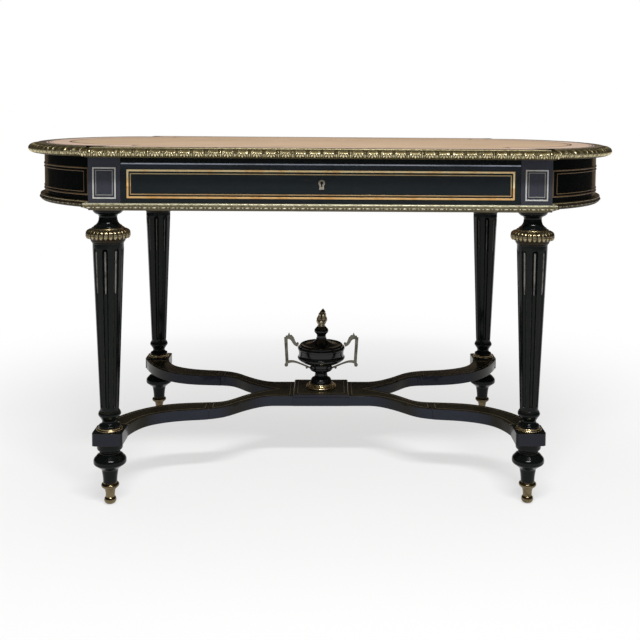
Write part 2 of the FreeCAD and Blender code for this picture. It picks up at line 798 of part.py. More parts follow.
def build_legs():
    half = leg_block_side / 2
    block = box(-half, half, -half, half, leg_block_bottom, leg_block_top)
    upright = [edge for edge in block.Edges if abs(edge.tangentAt(edge.FirstParameter).z) > 0]
    block = block.makeFillet(leg_block_corner, upright)
    upper = turned_upper_leg()
    upper.rotate(middle, up, 180 / flute_count)
    for cutter in around(flute_cutter(), flute_count):
        upper = upper.cut(cutter)
    leg = block.fuse([turned_lower_leg(), upper]).removeSplitter()
    collar = turned_piece(
        collar_seat_radius, ((shoulder_radius, 0),) + collar_profile, collar_height,
        neck_base_radius, collar_bottom,
    )
    spigot_end = foot_height - foot_spigot_length
    foot = turned(foot_profile + (
        (foot_seat_radius, foot_height), (foot_spigot_radius, foot_height),
        (foot_spigot_radius, spigot_end), (0, spigot_end),
    ))
    ring = turned_piece(
        block_ring_seat_radius, block_ring_profile, block_ring_height, block_ring_lip_radius, leg_block_top
    )
    rods = around(flute_rod(), flute_count)
    all_rings, all_rods = [], []
    for name, signs in corners.items():
        save("leg_" + name, at_leg(leg, *signs))
        save("leg_collar_" + name, at_leg(collar, *signs))
        save("leg_foot_" + name, at_leg(foot, *signs))
        all_rings.append(at_leg(ring, *signs))
        all_rods.extend(at_leg(rod, *signs) for rod in rods)
    save("leg_block_rings", Part.Compound(all_rings))
    save("leg_flute_rods", Part.Compound(all_rods))
    return at_leg(block, 1, 1)


def in_plan(shares):
    """Plan points from shares of the leg's distances from the middle."""
    return [(x_share * leg_centre_x, y_share * leg_centre_y) for x_share, y_share in shares]


# Stretcher: centre with platform, two forks and four curved arms
def build_stretcher(leg_block):
    end_y = leg_centre_y - arm_end_y
    into_y = end_y + stretcher_into_block
    outer_x = leg_centre_x - arm_outer_end_x
    inner_x = leg_centre_x + arm_inner_end_x
    outer = [(stretcher_flat_x, stretcher_half_width)] + in_plan(arm_outer_shares) + [(outer_x, end_y)]
    inner = [(stretcher_crotch_x, 0)] + in_plan(arm_inner_shares) + [(inner_x, end_y)]
    outline = [
        Part.makeLine(Vector(0, 0, 0), Vector(0, stretcher_half_width, 0)),
        Part.makeLine(Vector(0, stretcher_half_width, 0), Vector(*outer[0], 0)),
        curve_through(outer),
        Part.makeLine(Vector(outer_x, end_y, 0), Vector(outer_x, into_y, 0)),
        Part.makeLine(Vector(outer_x, into_y, 0), Vector(inner_x, into_y, 0)),
        Part.makeLine(Vector(inner_x, into_y, 0), Vector(inner_x, end_y, 0)),
        curve_through(inner),
        Part.makeLine(Vector(stretcher_crotch_x, 0, 0), Vector(0, 0, 0)),
    ]
    face = Part.Face(Part.Wire(Part.__sortEdges__(outline)))
    face.translate(up * leg_block_bottom)
    quarter = face.extrude(up * stretcher_thickness).cut(leg_block)
    reach = leg_centre_x + leg_block_side
    low = leg_block_bottom - overrun
    high = leg_block_bottom + stretcher_thickness + overrun
    seam_x = arm_seam_share * leg_centre_x
    arm = quarter.common(box(seam_x, reach, 0, reach, low, high))
    for name, signs in corners.items():
        save("stretcher_arm_" + name, flipped(arm, *signs))
    fork_half = quarter.common(box(stretcher_fork_x, seam_x, 0, reach, low, high))
    fork = fork_half.fuse(flipped(fork_half, 1, -1)).removeSplitter()
    for name, sign in ends.items():
        save("stretcher_fork_" + name, flipped(fork, sign, 1))
    bar = box(
        -stretcher_fork_x, stretcher_fork_x, -stretcher_half_width, stretcher_half_width,
        leg_block_bottom, stretcher_top,
    )
    plate = box(
        -platform_half_length, platform_half_length, -platform_half_width, platform_half_width,
        stretcher_top, platform_top,
    )
    rim = [edge for edge in plate.Edges if edge.BoundBox.ZMin > stretcher_top + platform_height / 2]
    plate = plate.makeChamfer(platform_chamfer, rim)
    hole = Part.makeCylinder(
        urn_spigot_radius, urn_spigot_length + spigot_end_gap,
        Vector(0, 0, platform_top - urn_spigot_length - spigot_end_gap),
    )
    save("stretcher_centre", bar.fuse(plate).removeSplitter().cut(hole))


# Urn with lid, finial and cast handles
def build_urn():
    body_bottom = platform_top + urn_base_height
    lid_bottom = body_bottom + urn_body_height
    finial_bottom = lid_bottom + urn_lid_height
    base = turned_piece(
        urn_spigot_radius, urn_base_profile, urn_base_height, urn_base_lip_radius, platform_top
    )
    spigot = ((0, platform_top - urn_spigot_length), (urn_spigot_radius, platform_top - urn_spigot_length))
    body = turned(
        spigot + ((urn_spigot_radius, body_bottom),) + raised(urn_body_profile, body_bottom)
        + ((urn_lip_radius, lid_bottom), (0, lid_bottom))
    )
    lid = turned_piece(0, urn_lid_profile, urn_lid_height, urn_finial_foot_radius, lid_bottom)
    foot = ((urn_finial_foot_radius, 0),)
    finial = turned(
        ((0, finial_bottom),) + raised(foot + finial_profile, finial_bottom)
        + ((0, finial_bottom + urn_finial_height),)
    )
    for name, shape in {"base": base, "body": body, "lid": lid, "finial": finial}.items():
        save("urn_" + name, shape)
    parts = [ribbon(run, handle_thickness) for run in (handle_bar, handle_hook, handle_strut)]
    for x, z, radius in handle_rounds:
        parts.append(Part.makeCylinder(radius, handle_thickness, Vector(x, -handle_thickness / 2, z), across))
    crest = [Vector(x, -handle_thickness / 2, z) for x, z in handle_crest]
    crest.append(crest[0])
    parts.append(Part.Face(Part.makePolygon(crest)).extrude(across * handle_thickness))
    handle = parts[0].fuse(parts[1:]).removeSplitter()
    handle.translate(up * platform_top)
    handle = handle.cut([body, base, lid])
    handle = max(handle.Solids, key=lambda solid: solid.Volume)
    for name, sign in ends.items():
        save("urn_handle_" + name, flipped(handle, sign, 1))


os.makedirs("parts", exist_ok=True)
build_top()
build_carcase()
build_lower_mouldings()
build_runners()
build_drawer()
build_carcase_fillets()
build_slide()
build_stretcher(build_legs())
build_urn()
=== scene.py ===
import json
import math

import bpy
import numpy as np
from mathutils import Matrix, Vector

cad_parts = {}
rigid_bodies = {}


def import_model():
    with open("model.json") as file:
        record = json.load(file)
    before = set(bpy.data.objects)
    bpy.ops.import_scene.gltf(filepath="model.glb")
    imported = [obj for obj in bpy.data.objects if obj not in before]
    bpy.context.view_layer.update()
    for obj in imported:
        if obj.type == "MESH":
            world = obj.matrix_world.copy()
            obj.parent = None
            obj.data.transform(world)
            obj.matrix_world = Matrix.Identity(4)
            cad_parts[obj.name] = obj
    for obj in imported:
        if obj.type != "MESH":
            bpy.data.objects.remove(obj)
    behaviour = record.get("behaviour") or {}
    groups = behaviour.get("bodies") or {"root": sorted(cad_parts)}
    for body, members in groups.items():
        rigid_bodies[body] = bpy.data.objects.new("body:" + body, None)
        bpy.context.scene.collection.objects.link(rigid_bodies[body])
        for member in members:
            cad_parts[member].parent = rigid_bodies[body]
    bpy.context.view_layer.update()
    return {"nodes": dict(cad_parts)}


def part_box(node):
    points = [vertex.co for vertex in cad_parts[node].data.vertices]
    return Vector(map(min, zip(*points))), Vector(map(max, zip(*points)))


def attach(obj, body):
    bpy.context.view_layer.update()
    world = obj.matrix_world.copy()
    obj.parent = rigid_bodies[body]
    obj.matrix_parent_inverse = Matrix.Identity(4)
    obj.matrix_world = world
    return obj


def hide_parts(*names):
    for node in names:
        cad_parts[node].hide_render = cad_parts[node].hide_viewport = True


for default_object in list(bpy.data.objects):
    bpy.data.objects.remove(default_object)

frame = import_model()
nodes = frame["nodes"]

mm = 0.001
corner_signs = {
    "front_left": (-1, -1),
    "front_right": (1, -1),
    "back_left": (-1, 1),
    "back_right": (1, 1),
}

# Places read from the frame
panel_low, panel_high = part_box("top_panel")
underside = panel_low.z
leather_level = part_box("leather_top")[1].z
block_low, block_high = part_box("corner_block_back_right")
frieze_bottom = block_low.z
block_outer_x = block_high.x
carcase_front_y = block_high.y
moulding_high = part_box("top_moulding_back")[1]
collar_low, collar_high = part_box("leg_collar_back_right")
leg_x = (collar_low.x + collar_high.x) / 2
leg_y = (collar_low.y + collar_high.y) / 2
collar_bottom = collar_low.z
finial_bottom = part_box("urn_finial")[0].z
stretcher_low, stretcher_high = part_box("stretcher_centre")
leg_block_bottom = stretcher_low.z
leg_block_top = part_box("leg_block_rings")[0].z
platform_top = stretcher_high.z
drawer_front_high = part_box("drawer_front")[1]
end_tip_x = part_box("end_frieze_right")[1].x

# Sizes of the top and the carcase that no box gives
top_moulding_width = 22.0 * mm
top_corner_step = 40.0 * mm
leather_inset = 16.0 * mm
lower_moulding_width = 12.0 * mm
end_arc_radius = 312.0 * mm
top_corner_x = moulding_high.x - top_moulding_width
top_front_y = moulding_high.y - top_moulding_width
top_end_reach = panel_high.x - top_corner_x
top_end_half_width = top_front_y - top_corner_step
end_arc_centre_x = end_tip_x - end_arc_radius

# Lines halfway between an outer and an inner brass frame: middle, half length, bottom and top
drawer_frame_split = (
    0.0, drawer_front_high.x - 17.4 * mm, frieze_bottom + 30.6 * mm, frieze_bottom + 78.75 * mm
)
block_frame_split = (leg_x, 19.25 * mm, frieze_bottom + 28.6 * mm, frieze_bottom + 84.3 * mm)
drawer_frame_middle = frieze_bottom + 50.0 * mm


# Materials
class Shader:
    """A material's node tree with short calls for the nodes it is made of."""

    def __init__(self, name):
        self.material = bpy.data.materials.new(name)
        self.material.use_nodes = True
        self.tree = self.material.node_tree
        self.surface = self.tree.nodes["Principled BSDF"]
        self.place = self.tree.nodes.new("ShaderNodeTexCoord").outputs["Object"]

    def put(self, socket, value):
        """Link a socket to an input, or set the input to a constant."""
        if isinstance(value, bpy.types.NodeSocket):
            self.tree.links.new(value, socket)
        else:
            socket.default_value = value

    def set(self, **values):
        """Inputs of the surface, by their names with _ for a space."""
        for name, value in values.items():
            self.put(self.surface.inputs[name.replace("_", " ")], value)

    def maths(self, operation, first, second=0.0):
        node = self.tree.nodes.new("ShaderNodeMath")
        node.operation = operation
        self.put(node.inputs[0], first)
        self.put(node.inputs[1], second)
        return node.outputs[0]

    def spread(self, value, low, high, to_low=0.0, to_high=1.0):
        """Smooth step between two values, from one result to another."""
        node = self.tree.nodes.new("ShaderNodeMapRange")
        node.interpolation_type = "SMOOTHSTEP"
        self.put(node.inputs["Value"], value)
        node.inputs["From Min"].default_value = low
        node.inputs["From Max"].default_value = high
        node.inputs["To Min"].default_value = to_low
        node.inputs["To Max"].default_value = to_high
        return node.outputs["Result"]

    def stretched(self, scale):
        """Places scaled along each axis, for grain that runs one way."""
        node = self.tree.nodes.new("ShaderNodeMapping")
        self.put(node.inputs["Vector"], self.place)
        node.inputs["Scale"].default_value = scale
        return node.outputs["Vector"]

    def noise(self, scale, detail=4.0, roughness=0.55, place=None, distortion=0.0):
        """Cloudy pattern with a scale in features per metre and a detail in octaves."""
        node = self.tree.nodes.new("ShaderNodeTexNoise")
        self.put(node.inputs["Vector"], place or self.place)
        node.inputs["Scale"].default_value = scale
        node.inputs["Detail"].default_value = detail
        node.inputs["Roughness"].default_value = roughness
        node.inputs["Distortion"].default_value = distortion
        return node.outputs["Fac"]

    def cell_edges(self, scale):
        """Distance to the edge of the nearest cell."""
        node = self.tree.nodes.new("ShaderNodeTexVoronoi")
        node.feature = "DISTANCE_TO_EDGE"
        self.put(node.inputs["Vector"], self.place)
        node.inputs["Scale"].default_value = scale
        return node.outputs["Distance"]

    def blend(self, share, first, second):
        """Mix of two colours, each a socket or three numbers."""
        node = self.tree.nodes.new("ShaderNodeMix")
        node.data_type = "RGBA"
        self.put(node.inputs["Factor"], share)
        self.put(node.inputs[6], self.colour(first))
        self.put(node.inputs[7], self.colour(second))
        return node.outputs[2]

    @staticmethod
    def colour(value):
        """Socket or colour with full opacity."""
        if isinstance(value, bpy.types.NodeSocket):
            return value
        return (*value, 1.0)

    def split(self, axis):
        """Place along an axis, in metres."""
        node = self.tree.nodes.new("ShaderNodeSeparateXYZ")
        self.put(node.inputs[0], self.place)
        return node.outputs[axis]

    def turned(self, axis):
        """Part of the surface's outward direction along an axis."""
        node = self.tree.nodes.new("ShaderNodeSeparateXYZ")
        self.put(node.inputs[0], self.tree.nodes.new("ShaderNodeNewGeometry").outputs["Normal"])
        return node.outputs[axis]

    def above(self, height):
        """1 above a height and 0 below it."""
        soft = 0.2 * mm
        return self.spread(self.split("Z"), height - soft, height + soft)

    def between(self, low, high):
        return self.maths("SUBTRACT", self.above(low), self.above(high))

    def stain(self):
        return self.noise(38.0, 6.0, 0.62)

    def colour_so_far(self):
        return self.surface.inputs["Base Color"].links[0].from_socket

    def attribute(self, name):
        node = self.tree.nodes.new("ShaderNodeAttribute")
        node.attribute_name = name
        return node.outputs["Fac"]

    def worn_edge(self, radius):
        """How far the surface turns within a short reach: high along edges."""
        bevel = self.tree.nodes.new("ShaderNodeBevel")
        bevel.samples = 4
        bevel.inputs["Radius"].default_value = radius
        geometry = self.tree.nodes.new("ShaderNodeNewGeometry")
        dot = self.tree.nodes.new("ShaderNodeVectorMath")
        dot.operation = "DOT_PRODUCT"
        self.put(dot.inputs[0], bevel.outputs["Normal"])
        self.put(dot.inputs[1], geometry.outputs["Normal"])
        return self.spread(dot.outputs["Value"], 0.98, 0.82)

    def bump(self, height, strength, distance):
        node = self.tree.nodes.new("ShaderNodeBump")
        node.inputs["Strength"].default_value = strength
        node.inputs["Distance"].default_value = distance
        self.put(node.inputs["Height"], height)
        self.put(self.surface.inputs["Normal"], node.outputs["Normal"])


def lacquer_material(name, deep, lit, gloss, grain_scale, front_reflection=None, highlight_edge=None):
    """Black polish over a close grain, rubbed brown along the edges.

    Deep and lit are its two tones. The front reflection argument gives a pair of tones for a painted
    reflection on faces to the front, and the heights between which it shows. The highlight edge
    argument is the height of an upper edge that gets a painted highlight line and a painted sheen.
    """
    s = Shader(name)
    edge_reach = 1.4 * mm
    grain_brown, worn_brown = (0.016, 0.013, 0.012), (0.10, 0.065, 0.04)
    grain = s.noise(1.0, 6.0, 0.6, s.stretched(grain_scale))
    cloud = s.noise(9.0, 3.0)
    wear = s.maths("MULTIPLY", s.worn_edge(edge_reach), s.spread(s.noise(55.0, 5.0), 0.42, 0.62))
    black = s.blend(cloud, deep, lit)
    # Painted reflection: faces to the front, between two heights, take lighter bluish tones
    if front_reflection:
        tones, heights = front_reflection
        reflection_share = s.spread(s.turned("Y"), -0.55, -0.95)
        black = s.blend(s.maths("MULTIPLY", reflection_share, s.between(*heights)), black, s.blend(cloud, *tones))
    # Painted highlight line and painted sheen below an upper edge
    if highlight_edge:
        black = painted_edge_highlight(s, black, highlight_edge)
    black = s.blend(s.spread(grain, 0.5, 0.8, 0.0, 0.6), black, grain_brown)
    s.set(
        Base_Color=s.blend(s.maths("MULTIPLY", wear, 0.55), black, worn_brown),
        Roughness=s.spread(s.noise(26.0, 5.0), 0.25, 0.75, 0.08, 0.16),
        Specular_IOR_Level=gloss,
    )
    fine = s.maths("ADD", s.maths("MULTIPLY", grain, 0.35), s.noise(320.0, 3.0))
    s.bump(fine, 0.025, 0.3 * mm)
    return s.material


def painted_edge_highlight(s, black, edge):
    """Painted bluish sheen below an upper edge, and a painted pale highlight line along it on faces to the
    front.
    """
    painted_sheen_depth, line_depth, line_core = 24.0 * mm, 3.2 * mm, 2.0 * mm
    painted_sheen_blue, highlight_grey = (0.022, 0.030, 0.045), (0.50, 0.54, 0.64)
    height = s.split("Z")
    painted_sheen = s.spread(height, edge - painted_sheen_depth, edge, 0.0, 0.75)
    painted_sheen = s.maths("MULTIPLY", painted_sheen, s.spread(s.noise(5.0, 2.0), 0.3, 0.6))
    black = s.blend(painted_sheen, black, painted_sheen_blue)
    rubbed_and_highlight = s.spread(height, edge - line_depth, edge - line_core)
    rubbed_and_highlight = s.maths("MULTIPLY", rubbed_and_highlight, s.spread(s.turned("Y"), -0.3, -0.7))
    rubbed_and_highlight = s.maths("MULTIPLY", rubbed_and_highlight, s.spread(s.noise(8.0, 3.0), 0.25, 0.6, 0.35, 1.0))
    return s.blend(rubbed_and_highlight, black, highlight_grey)


def brass_shader(name, bright, dark, roughness=(0.24, 0.46), metal=1.0, patina=0.45, relief=False):
    """Brass with dark wax in its hollows and painted shade where its relief values carry it, or with
    stained patches where it has no relief.

    Roughness is that of rubbed and of dull metal, and patina is how bright the stained parts stay.
    """
    s = Shader(name)
    speck = s.noise(260.0, 4.0)
    if relief:
        high = s.spread(s.attribute("relief"), 0.24, 0.86)
        high = s.maths("MULTIPLY", high, s.spread(s.noise(210.0, 5.0, 0.7), 0.34, 0.58, 0.35, 1.0))
    else:
        high = s.spread(s.stain(), 0.32, 0.55, patina, 1.0)
    rubbed_and_highlight = s.maths("MULTIPLY", high, s.spread(speck, 0.3, 0.7, 0.7, 1.0))
    s.set(
        Base_Color=s.blend(high, dark, bright),
        Metallic=s.spread(high, 0.0, 0.5, 0.72 * metal, metal),
        Roughness=s.spread(rubbed_and_highlight, 0.0, 1.0, roughness[1], roughness[0]),
    )
    s.bump(s.maths("ADD", speck, s.noise(90.0, 3.0)), 0.22, 0.25 * mm)
    return s


def brass_material(*tones, **options):
    return brass_shader(*tones, **options).material


def fillet_material(name, bright, dark, inner_share, frame_split, end_reflection_tones=None, low_shade_tones=None):
    """Brass strips whose inner frame is duller by inner_share.

    The end tones give the strips on the curved ends a painted dark brown reflection, and the low tones
    give those below a level a painted shade.
    """
    s = brass_shader(name, bright, dark, roughness=(0.34, 0.46), metal=0.35, patina=0.0)
    soft, end_fade, dull_share = 0.3 * mm, 2.0 * mm, 0.12
    colour = s.colour_so_far()
    # Painted shade: strips below a level take darker, more orange tones
    if low_shade_tones:
        level, shade_bright, shade_dark = low_shade_tones
        high = s.spread(s.stain(), 0.32, 0.55)
        colour = s.blend(s.above(level), s.blend(high, shade_dark, shade_bright), colour)
    across = s.maths("ABSOLUTE", s.split("X"))
    middle_x, half_length, low, high = frame_split
    away = s.maths("ABSOLUTE", s.maths("SUBTRACT", across, middle_x))
    inner = s.spread(away, half_length + soft, half_length - soft)
    inner = s.maths("MULTIPLY", inner, s.between(low, high))
    dull = tuple(dull_share * value for value in bright)
    colour = s.blend(s.maths("MULTIPLY", inner, inner_share), colour, dull)
    # Painted reflection: dark brown tones on the strips of the curved ends
    if end_reflection_tones:
        ends = s.spread(across, block_outer_x, block_outer_x + end_fade)
        colour = s.blend(ends, colour, s.blend(s.noise(30.0, 4.0), *end_reflection_tones))
    s.set(Base_Color=colour)
    return s.material


def rod_material():
    """Dull rods in the flutes, with painted shade that makes them nearly black on the back legs."""
    bright, dark, back_shade_grey = (0.17, 0.165, 0.15), (0.04, 0.038, 0.03), (0.02, 0.018, 0.014)
    s = brass_shader("grey_brass", bright, dark, roughness=(0.24, 0.40), metal=0.5, patina=0.05)
    # Painted shade on the rods of the back legs
    back_leg_shade = s.spread(s.split("Y"), 0.4 * leg_y, 0.6 * leg_y, 0.0, 0.8)
    s.set(Base_Color=s.blend(back_leg_shade, s.colour_so_far(), back_shade_grey))
    return s.material


def leather_material():
    """Waxed hide with dark tooled lines round the border, and an outer rim whose pale grey is a painted
    reflection.
    """
    s = Shader("tooled_hide")
    inset = s.attribute("inset")
    border_width, rim_width, soft = 66.0, 19.0, 0.3
    line_places_and_widths = ((19.8, 3.4), (26.0, 1.0), (border_width, 5.0), (73.0, 1.2))
    reflected_rim_grey, tooled_brown = (0.52, 0.46, 0.42), (0.05, 0.022, 0.014)
    tooled = None
    for place, width in line_places_and_widths:
        away = s.maths("ABSOLUTE", s.maths("SUBTRACT", inset, place * mm))
        line = s.spread(away, (width / 2 + soft) * mm, width / 2 * mm)
        tooled = line if tooled is None else s.maths("MAXIMUM", tooled, line)
    border = s.spread(inset, border_width * mm, (border_width + 2.0) * mm, 1.0, 0.0)
    # Painted reflection: the outer rim takes a pale grey
    painted_rim_reflection = s.spread(inset, rim_width * mm, (rim_width + 1.5) * mm, 1.0, 0.0)
    mottle = s.noise(7.0, 5.0, 0.6)
    grain = s.cell_edges(900.0)
    hide = s.blend(mottle, (0.42, 0.285, 0.175), (0.59, 0.435, 0.30))
    hide = s.blend(border, hide, s.blend(mottle, (0.46, 0.325, 0.235), (0.62, 0.465, 0.365)))
    hide = s.blend(painted_rim_reflection, hide, reflected_rim_grey)
    s.set(
        Base_Color=s.blend(s.maths("MULTIPLY", tooled, 0.85), hide, tooled_brown),
        Roughness=s.spread(s.noise(34.0, 4.0), 0.2, 0.8, 0.5, 0.66),
        Specular_IOR_Level=0.25,
    )
    height = s.maths("SUBTRACT", s.spread(grain, 0.0, 0.2), s.maths("MULTIPLY", tooled, 2.0))
    s.bump(height, 0.18, 0.3 * mm)
    return s.material


def timber_material():
    """Plain drawer wood with straight grain along the desk."""
    s = Shader("drawer_wood")
    grain = s.noise(1.0, 5.0, 0.6, s.stretched((7.0, 90.0, 120.0)), 0.4)
    pores = s.noise(1.0, 3.0, 0.6, s.stretched((90.0, 1400.0, 1400.0)))
    wood = s.blend(s.spread(grain, 0.3, 0.7), (0.20, 0.115, 0.055), (0.42, 0.28, 0.16))
    s.set(
        Base_Color=s.blend(s.spread(pores, 0.55, 0.75), wood, (0.13, 0.075, 0.04)),
        Roughness=s.spread(grain, 0.2, 0.8, 0.52, 0.7),
        Specular_IOR_Level=0.35,
    )
    s.bump(s.maths("SUBTRACT", grain, pores), 0.2, 0.3 * mm)
    return s.material


def inlay_material():
    """Thin line of lighter wood that has darkened under the polish."""
    s = Shader("pale_inlay")
    grain = s.noise(1.0, 4.0, 0.6, s.stretched((60.0, 500.0, 500.0)))
    s.set(
        Base_Color=s.blend(s.spread(grain, 0.3, 0.7), (0.055, 0.043, 0.026), (0.13, 0.105, 0.068)),
        Roughness=s.spread(grain, 0.2, 0.8, 0.25, 0.4),
        Specular_IOR_Level=0.4,
    )
    s.bump(grain, 0.1, 0.2 * mm)
    return s.material


def steel_material():
    s = Shader("lock_plate_steel")
    scratch = s.noise(1.0, 4.0, 0.6, s.stretched((60.0, 900.0, 900.0)))
    rust = s.spread(s.noise(60.0, 5.0), 0.55, 0.72)
    s.set(
        Base_Color=s.blend(rust, (0.05, 0.048, 0.046), (0.03, 0.018, 0.012)),
        Metallic=s.spread(rust, 0.0, 1.0, 1.0, 0.5),
        Roughness=s.spread(scratch, 0.2, 0.8, 0.3, 0.5),
    )
    s.bump(scratch, 0.15, 0.2 * mm)
    return s.material


along_desk = (40.0, 420.0, 420.0)
upright = (420.0, 420.0, 40.0)
deep_black, lit_black = (0.0020, 0.0030, 0.0028), (0.0045, 0.0062, 0.0058)
front_black, front_lit = (0.005, 0.008, 0.009), (0.009, 0.013, 0.014)
# Legs: a painted bluish reflection on the front faces of the leg blocks
lacquer = lacquer_material(
    "black_lacquer", deep_black, lit_black, gloss=0.14, grain_scale=upright,
    front_reflection=(((0.011, 0.012, 0.018), (0.018, 0.019, 0.027)), (leg_block_bottom, leg_block_top)),
)
urn_lacquer = lacquer_material(
    "urn_lacquer", deep_black, lit_black, gloss=0.34, grain_scale=upright
)
front_lacquer = lacquer_material(
    "front_lacquer", front_black, front_lit, gloss=0.46, grain_scale=along_desk
)
# Drawer front: painted highlight and painted sheen along its top edge
drawer_lacquer = lacquer_material(
    "drawer_lacquer", front_black, front_lit, gloss=0.46, grain_scale=along_desk,
    highlight_edge=drawer_front_high.z,
)
# Corner blocks: a lighter, bluish lacquer, partly their own tone and partly a painted reflection of the
# pale light in front
block_lacquer_and_reflection = lacquer_material(
    "block_lacquer_and_reflection", (0.026, 0.027, 0.038), (0.042, 0.044, 0.056), gloss=0.5, grain_scale=upright
)
# Stretcher: a painted bluish reflection on its faces to the front
stretcher_lacquer = lacquer_material(
    "stretcher_lacquer", (0.010, 0.009, 0.005), (0.019, 0.017, 0.010), gloss=0.10,
    grain_scale=along_desk,
    front_reflection=(((0.017, 0.019, 0.029), (0.027, 0.030, 0.042)), (0.0, platform_top)),
)
cast_brass = brass_material("cast_brass", (0.84, 0.74, 0.46), (0.075, 0.056, 0.018), relief=True)
collar_brass = brass_material("collar_brass", (0.42, 0.345, 0.20), (0.030, 0.021, 0.009), relief=True)
flame_brass = brass_material(
    "flame_brass", (0.86, 0.74, 0.52), (0.060, 0.042, 0.018), roughness=(0.28, 0.44), metal=0.75,
    relief=True,
)
lower_brass = brass_material(
    "lower_cast_brass", (0.68, 0.65, 0.46), (0.10, 0.078, 0.036), roughness=(0.3, 0.5), metal=0.5,
    relief=True,
)
# Drawer strips, with painted shade on the lower ones
fillet_brass = fillet_material(
    "fillet_brass", (0.98, 0.78, 0.42), (0.88, 0.54, 0.20), inner_share=0.55,
    frame_split=drawer_frame_split,
    low_shade_tones=(drawer_frame_middle, (0.70, 0.43, 0.17), (0.60, 0.31, 0.085)),
)
# Block strips, with a painted brown reflection on the curved ends
block_fillet_brass = fillet_material(
    "pale_fillet_brass", (0.58, 0.585, 0.56), (0.48, 0.44, 0.35), inner_share=0.6,
    frame_split=block_frame_split,
    end_reflection_tones=((0.10, 0.055, 0.022), (0.22, 0.14, 0.065)),
)
foot_brass = brass_material(
    "foot_brass", (0.185, 0.147, 0.082), (0.06, 0.043, 0.018), roughness=(0.18, 0.32), patina=0.15
)
ring_brass = brass_material(
    "ring_brass", (0.66, 0.55, 0.34), (0.16, 0.11, 0.05), roughness=(0.22, 0.36), patina=0.6
)
handle_brass = brass_material(
    "handle_brass", (0.145, 0.137, 0.105), (0.05, 0.043, 0.026), roughness=(0.24, 0.40), metal=0.6,
    patina=0.1,
)
plate_brass = brass_material(
    "plate_brass", (0.52, 0.48, 0.38), (0.07, 0.055, 0.03), roughness=(0.26, 0.40), metal=0.7,
    patina=0.1,
)
grey_brass = rod_material()
hide = leather_material()
timber = timber_material()
pale_inlay = inlay_material()
steel = steel_material()
slot_material = {
    "ebonised_wood": lacquer,
    "plain_wood": timber,
    "aged_brass": fillet_brass,
    "dull_brass": grey_brass,
    "lock_steel": steel,
    "tooled_leather": hide,
}
own_material = {
    "drawer_front": drawer_lacquer,
    "front_top_rail": lacquer,
    "front_": front_lacquer,
    "back_frieze": front_lacquer,
    "corner_block": block_lacquer_and_reflection,
    "stretcher_": stretcher_lacquer,
    "carcase_fillets": block_fillet_brass,
    "leg_foot": foot_brass,
    "leg_block_rings": ring_brass,
    "urn_base": ring_brass,
    "urn_body": urn_lacquer,
    "urn_lid": urn_lacquer,
    "drawer_escutcheon": plate_brass,
    "urn_handle": handle_brass,
}


def material_of(node_name, slot_name):
    """The first own material that fits the start of a node's name, or else that of its slot."""
    for start, material in own_material.items():
        if node_name.startswith(start):
            return material
    return slot_material[slot_name]


for name, node in nodes.items():
    for slot in node.material_slots:
        slot.material = material_of(name, slot.material.name)


# Mesh making
sharp_angle = math.radians(40.0)


def piece(name, points, faces, body, material, values=None):
    """A new piece that rides on a body, with smooth faces and optional values per point."""
    mesh = bpy.data.meshes.new(name)
    mesh.from_pydata(points, [], faces)
    mesh.update()
    mesh.shade_smooth()
    mesh.set_sharp_from_angle(angle=sharp_angle)
    for key, per_point in (values or {}).items():
        layer = mesh.attributes.new(key, "FLOAT", "POINT")
        layer.data.foreach_set("value", np.asarray(per_point, np.float32).ravel())
    made = bpy.data.objects.new(name, mesh)
    bpy.context.scene.collection.objects.link(made)
    mesh.materials.append(material)
    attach(made, body)
    return made


def grid_faces(rows, columns, close_rows=False, close_columns=False, start=0, turn=False):
    """Quads between the points of a grid that lies row after row."""
    faces = []
    for i in range(rows if close_rows else rows - 1):
        for j in range(columns if close_columns else columns - 1):
            a = start + i * columns + j
            b = start + i * columns + (j + 1) % columns
            c = start + ((i + 1) % rows) * columns + (j + 1) % columns
            d = start + ((i + 1) % rows) * columns + j
            faces.append((a, d, c, b) if turn else (a, b, c, d))
    return faces


def arc_points(first, through, last, step):
    """Points after the first one along the arc through three points."""
    (ax, ay), (bx, by), (cx, cy) = first, through, last
    four_areas = 2 * (ax * (by - cy) + bx * (cy - ay) + cx * (ay - by))
    a, b, c = ax**2 + ay**2, bx**2 + by**2, cx**2 + cy**2
    ux = (a * (by - cy) + b * (cy - ay) + c * (ay - by)) / four_areas
    uy = (a * (cx - bx) + b * (ax - cx) + c * (bx - ax)) / four_areas
    radius = math.hypot(ax - ux, ay - uy)
    start = math.atan2(ay - uy, ax - ux)
    middle = (math.atan2(by - uy, bx - ux) - start) % (2 * math.pi)
    sweep = (math.atan2(cy - uy, cx - ux) - start) % (2 * math.pi)
    if middle > sweep:
        sweep -= 2 * math.pi
    count = max(2, math.ceil(abs(sweep) * radius / step))
    angles = [start + sweep * k / count for k in range(1, count + 1)]
    return [(ux + radius * math.cos(angle), uy + radius * math.sin(angle)) for angle in angles]


def line_points(first, last, step):
    """Points after the first one along a straight line."""
    count = max(1, math.ceil(math.dist(first, last) / step))
    return [
        (first[0] + (last[0] - first[0]) * k / count, first[1] + (last[1] - first[1]) * k / count)
        for k in range(1, count + 1)
    ]


def trace(profile, step):
    """Evenly sampled outline, with the number of the profile's stretch at each point.

    A stretch of two numbers is a line to that point, and one of four an arc through one point to
    another.
    """
    points = [tuple(profile[0])]
    stretch = [0]
    for number, item in enumerate(profile[1:], 1):
        if len(item) == 4:
            added = arc_points(points[-1], item[:2], item[2:], step)
        else:
            added = line_points(points[-1], item, step)
        points.extend(added)
        stretch.extend([number] * len(added))
    return np.array(points), np.array(stretch)


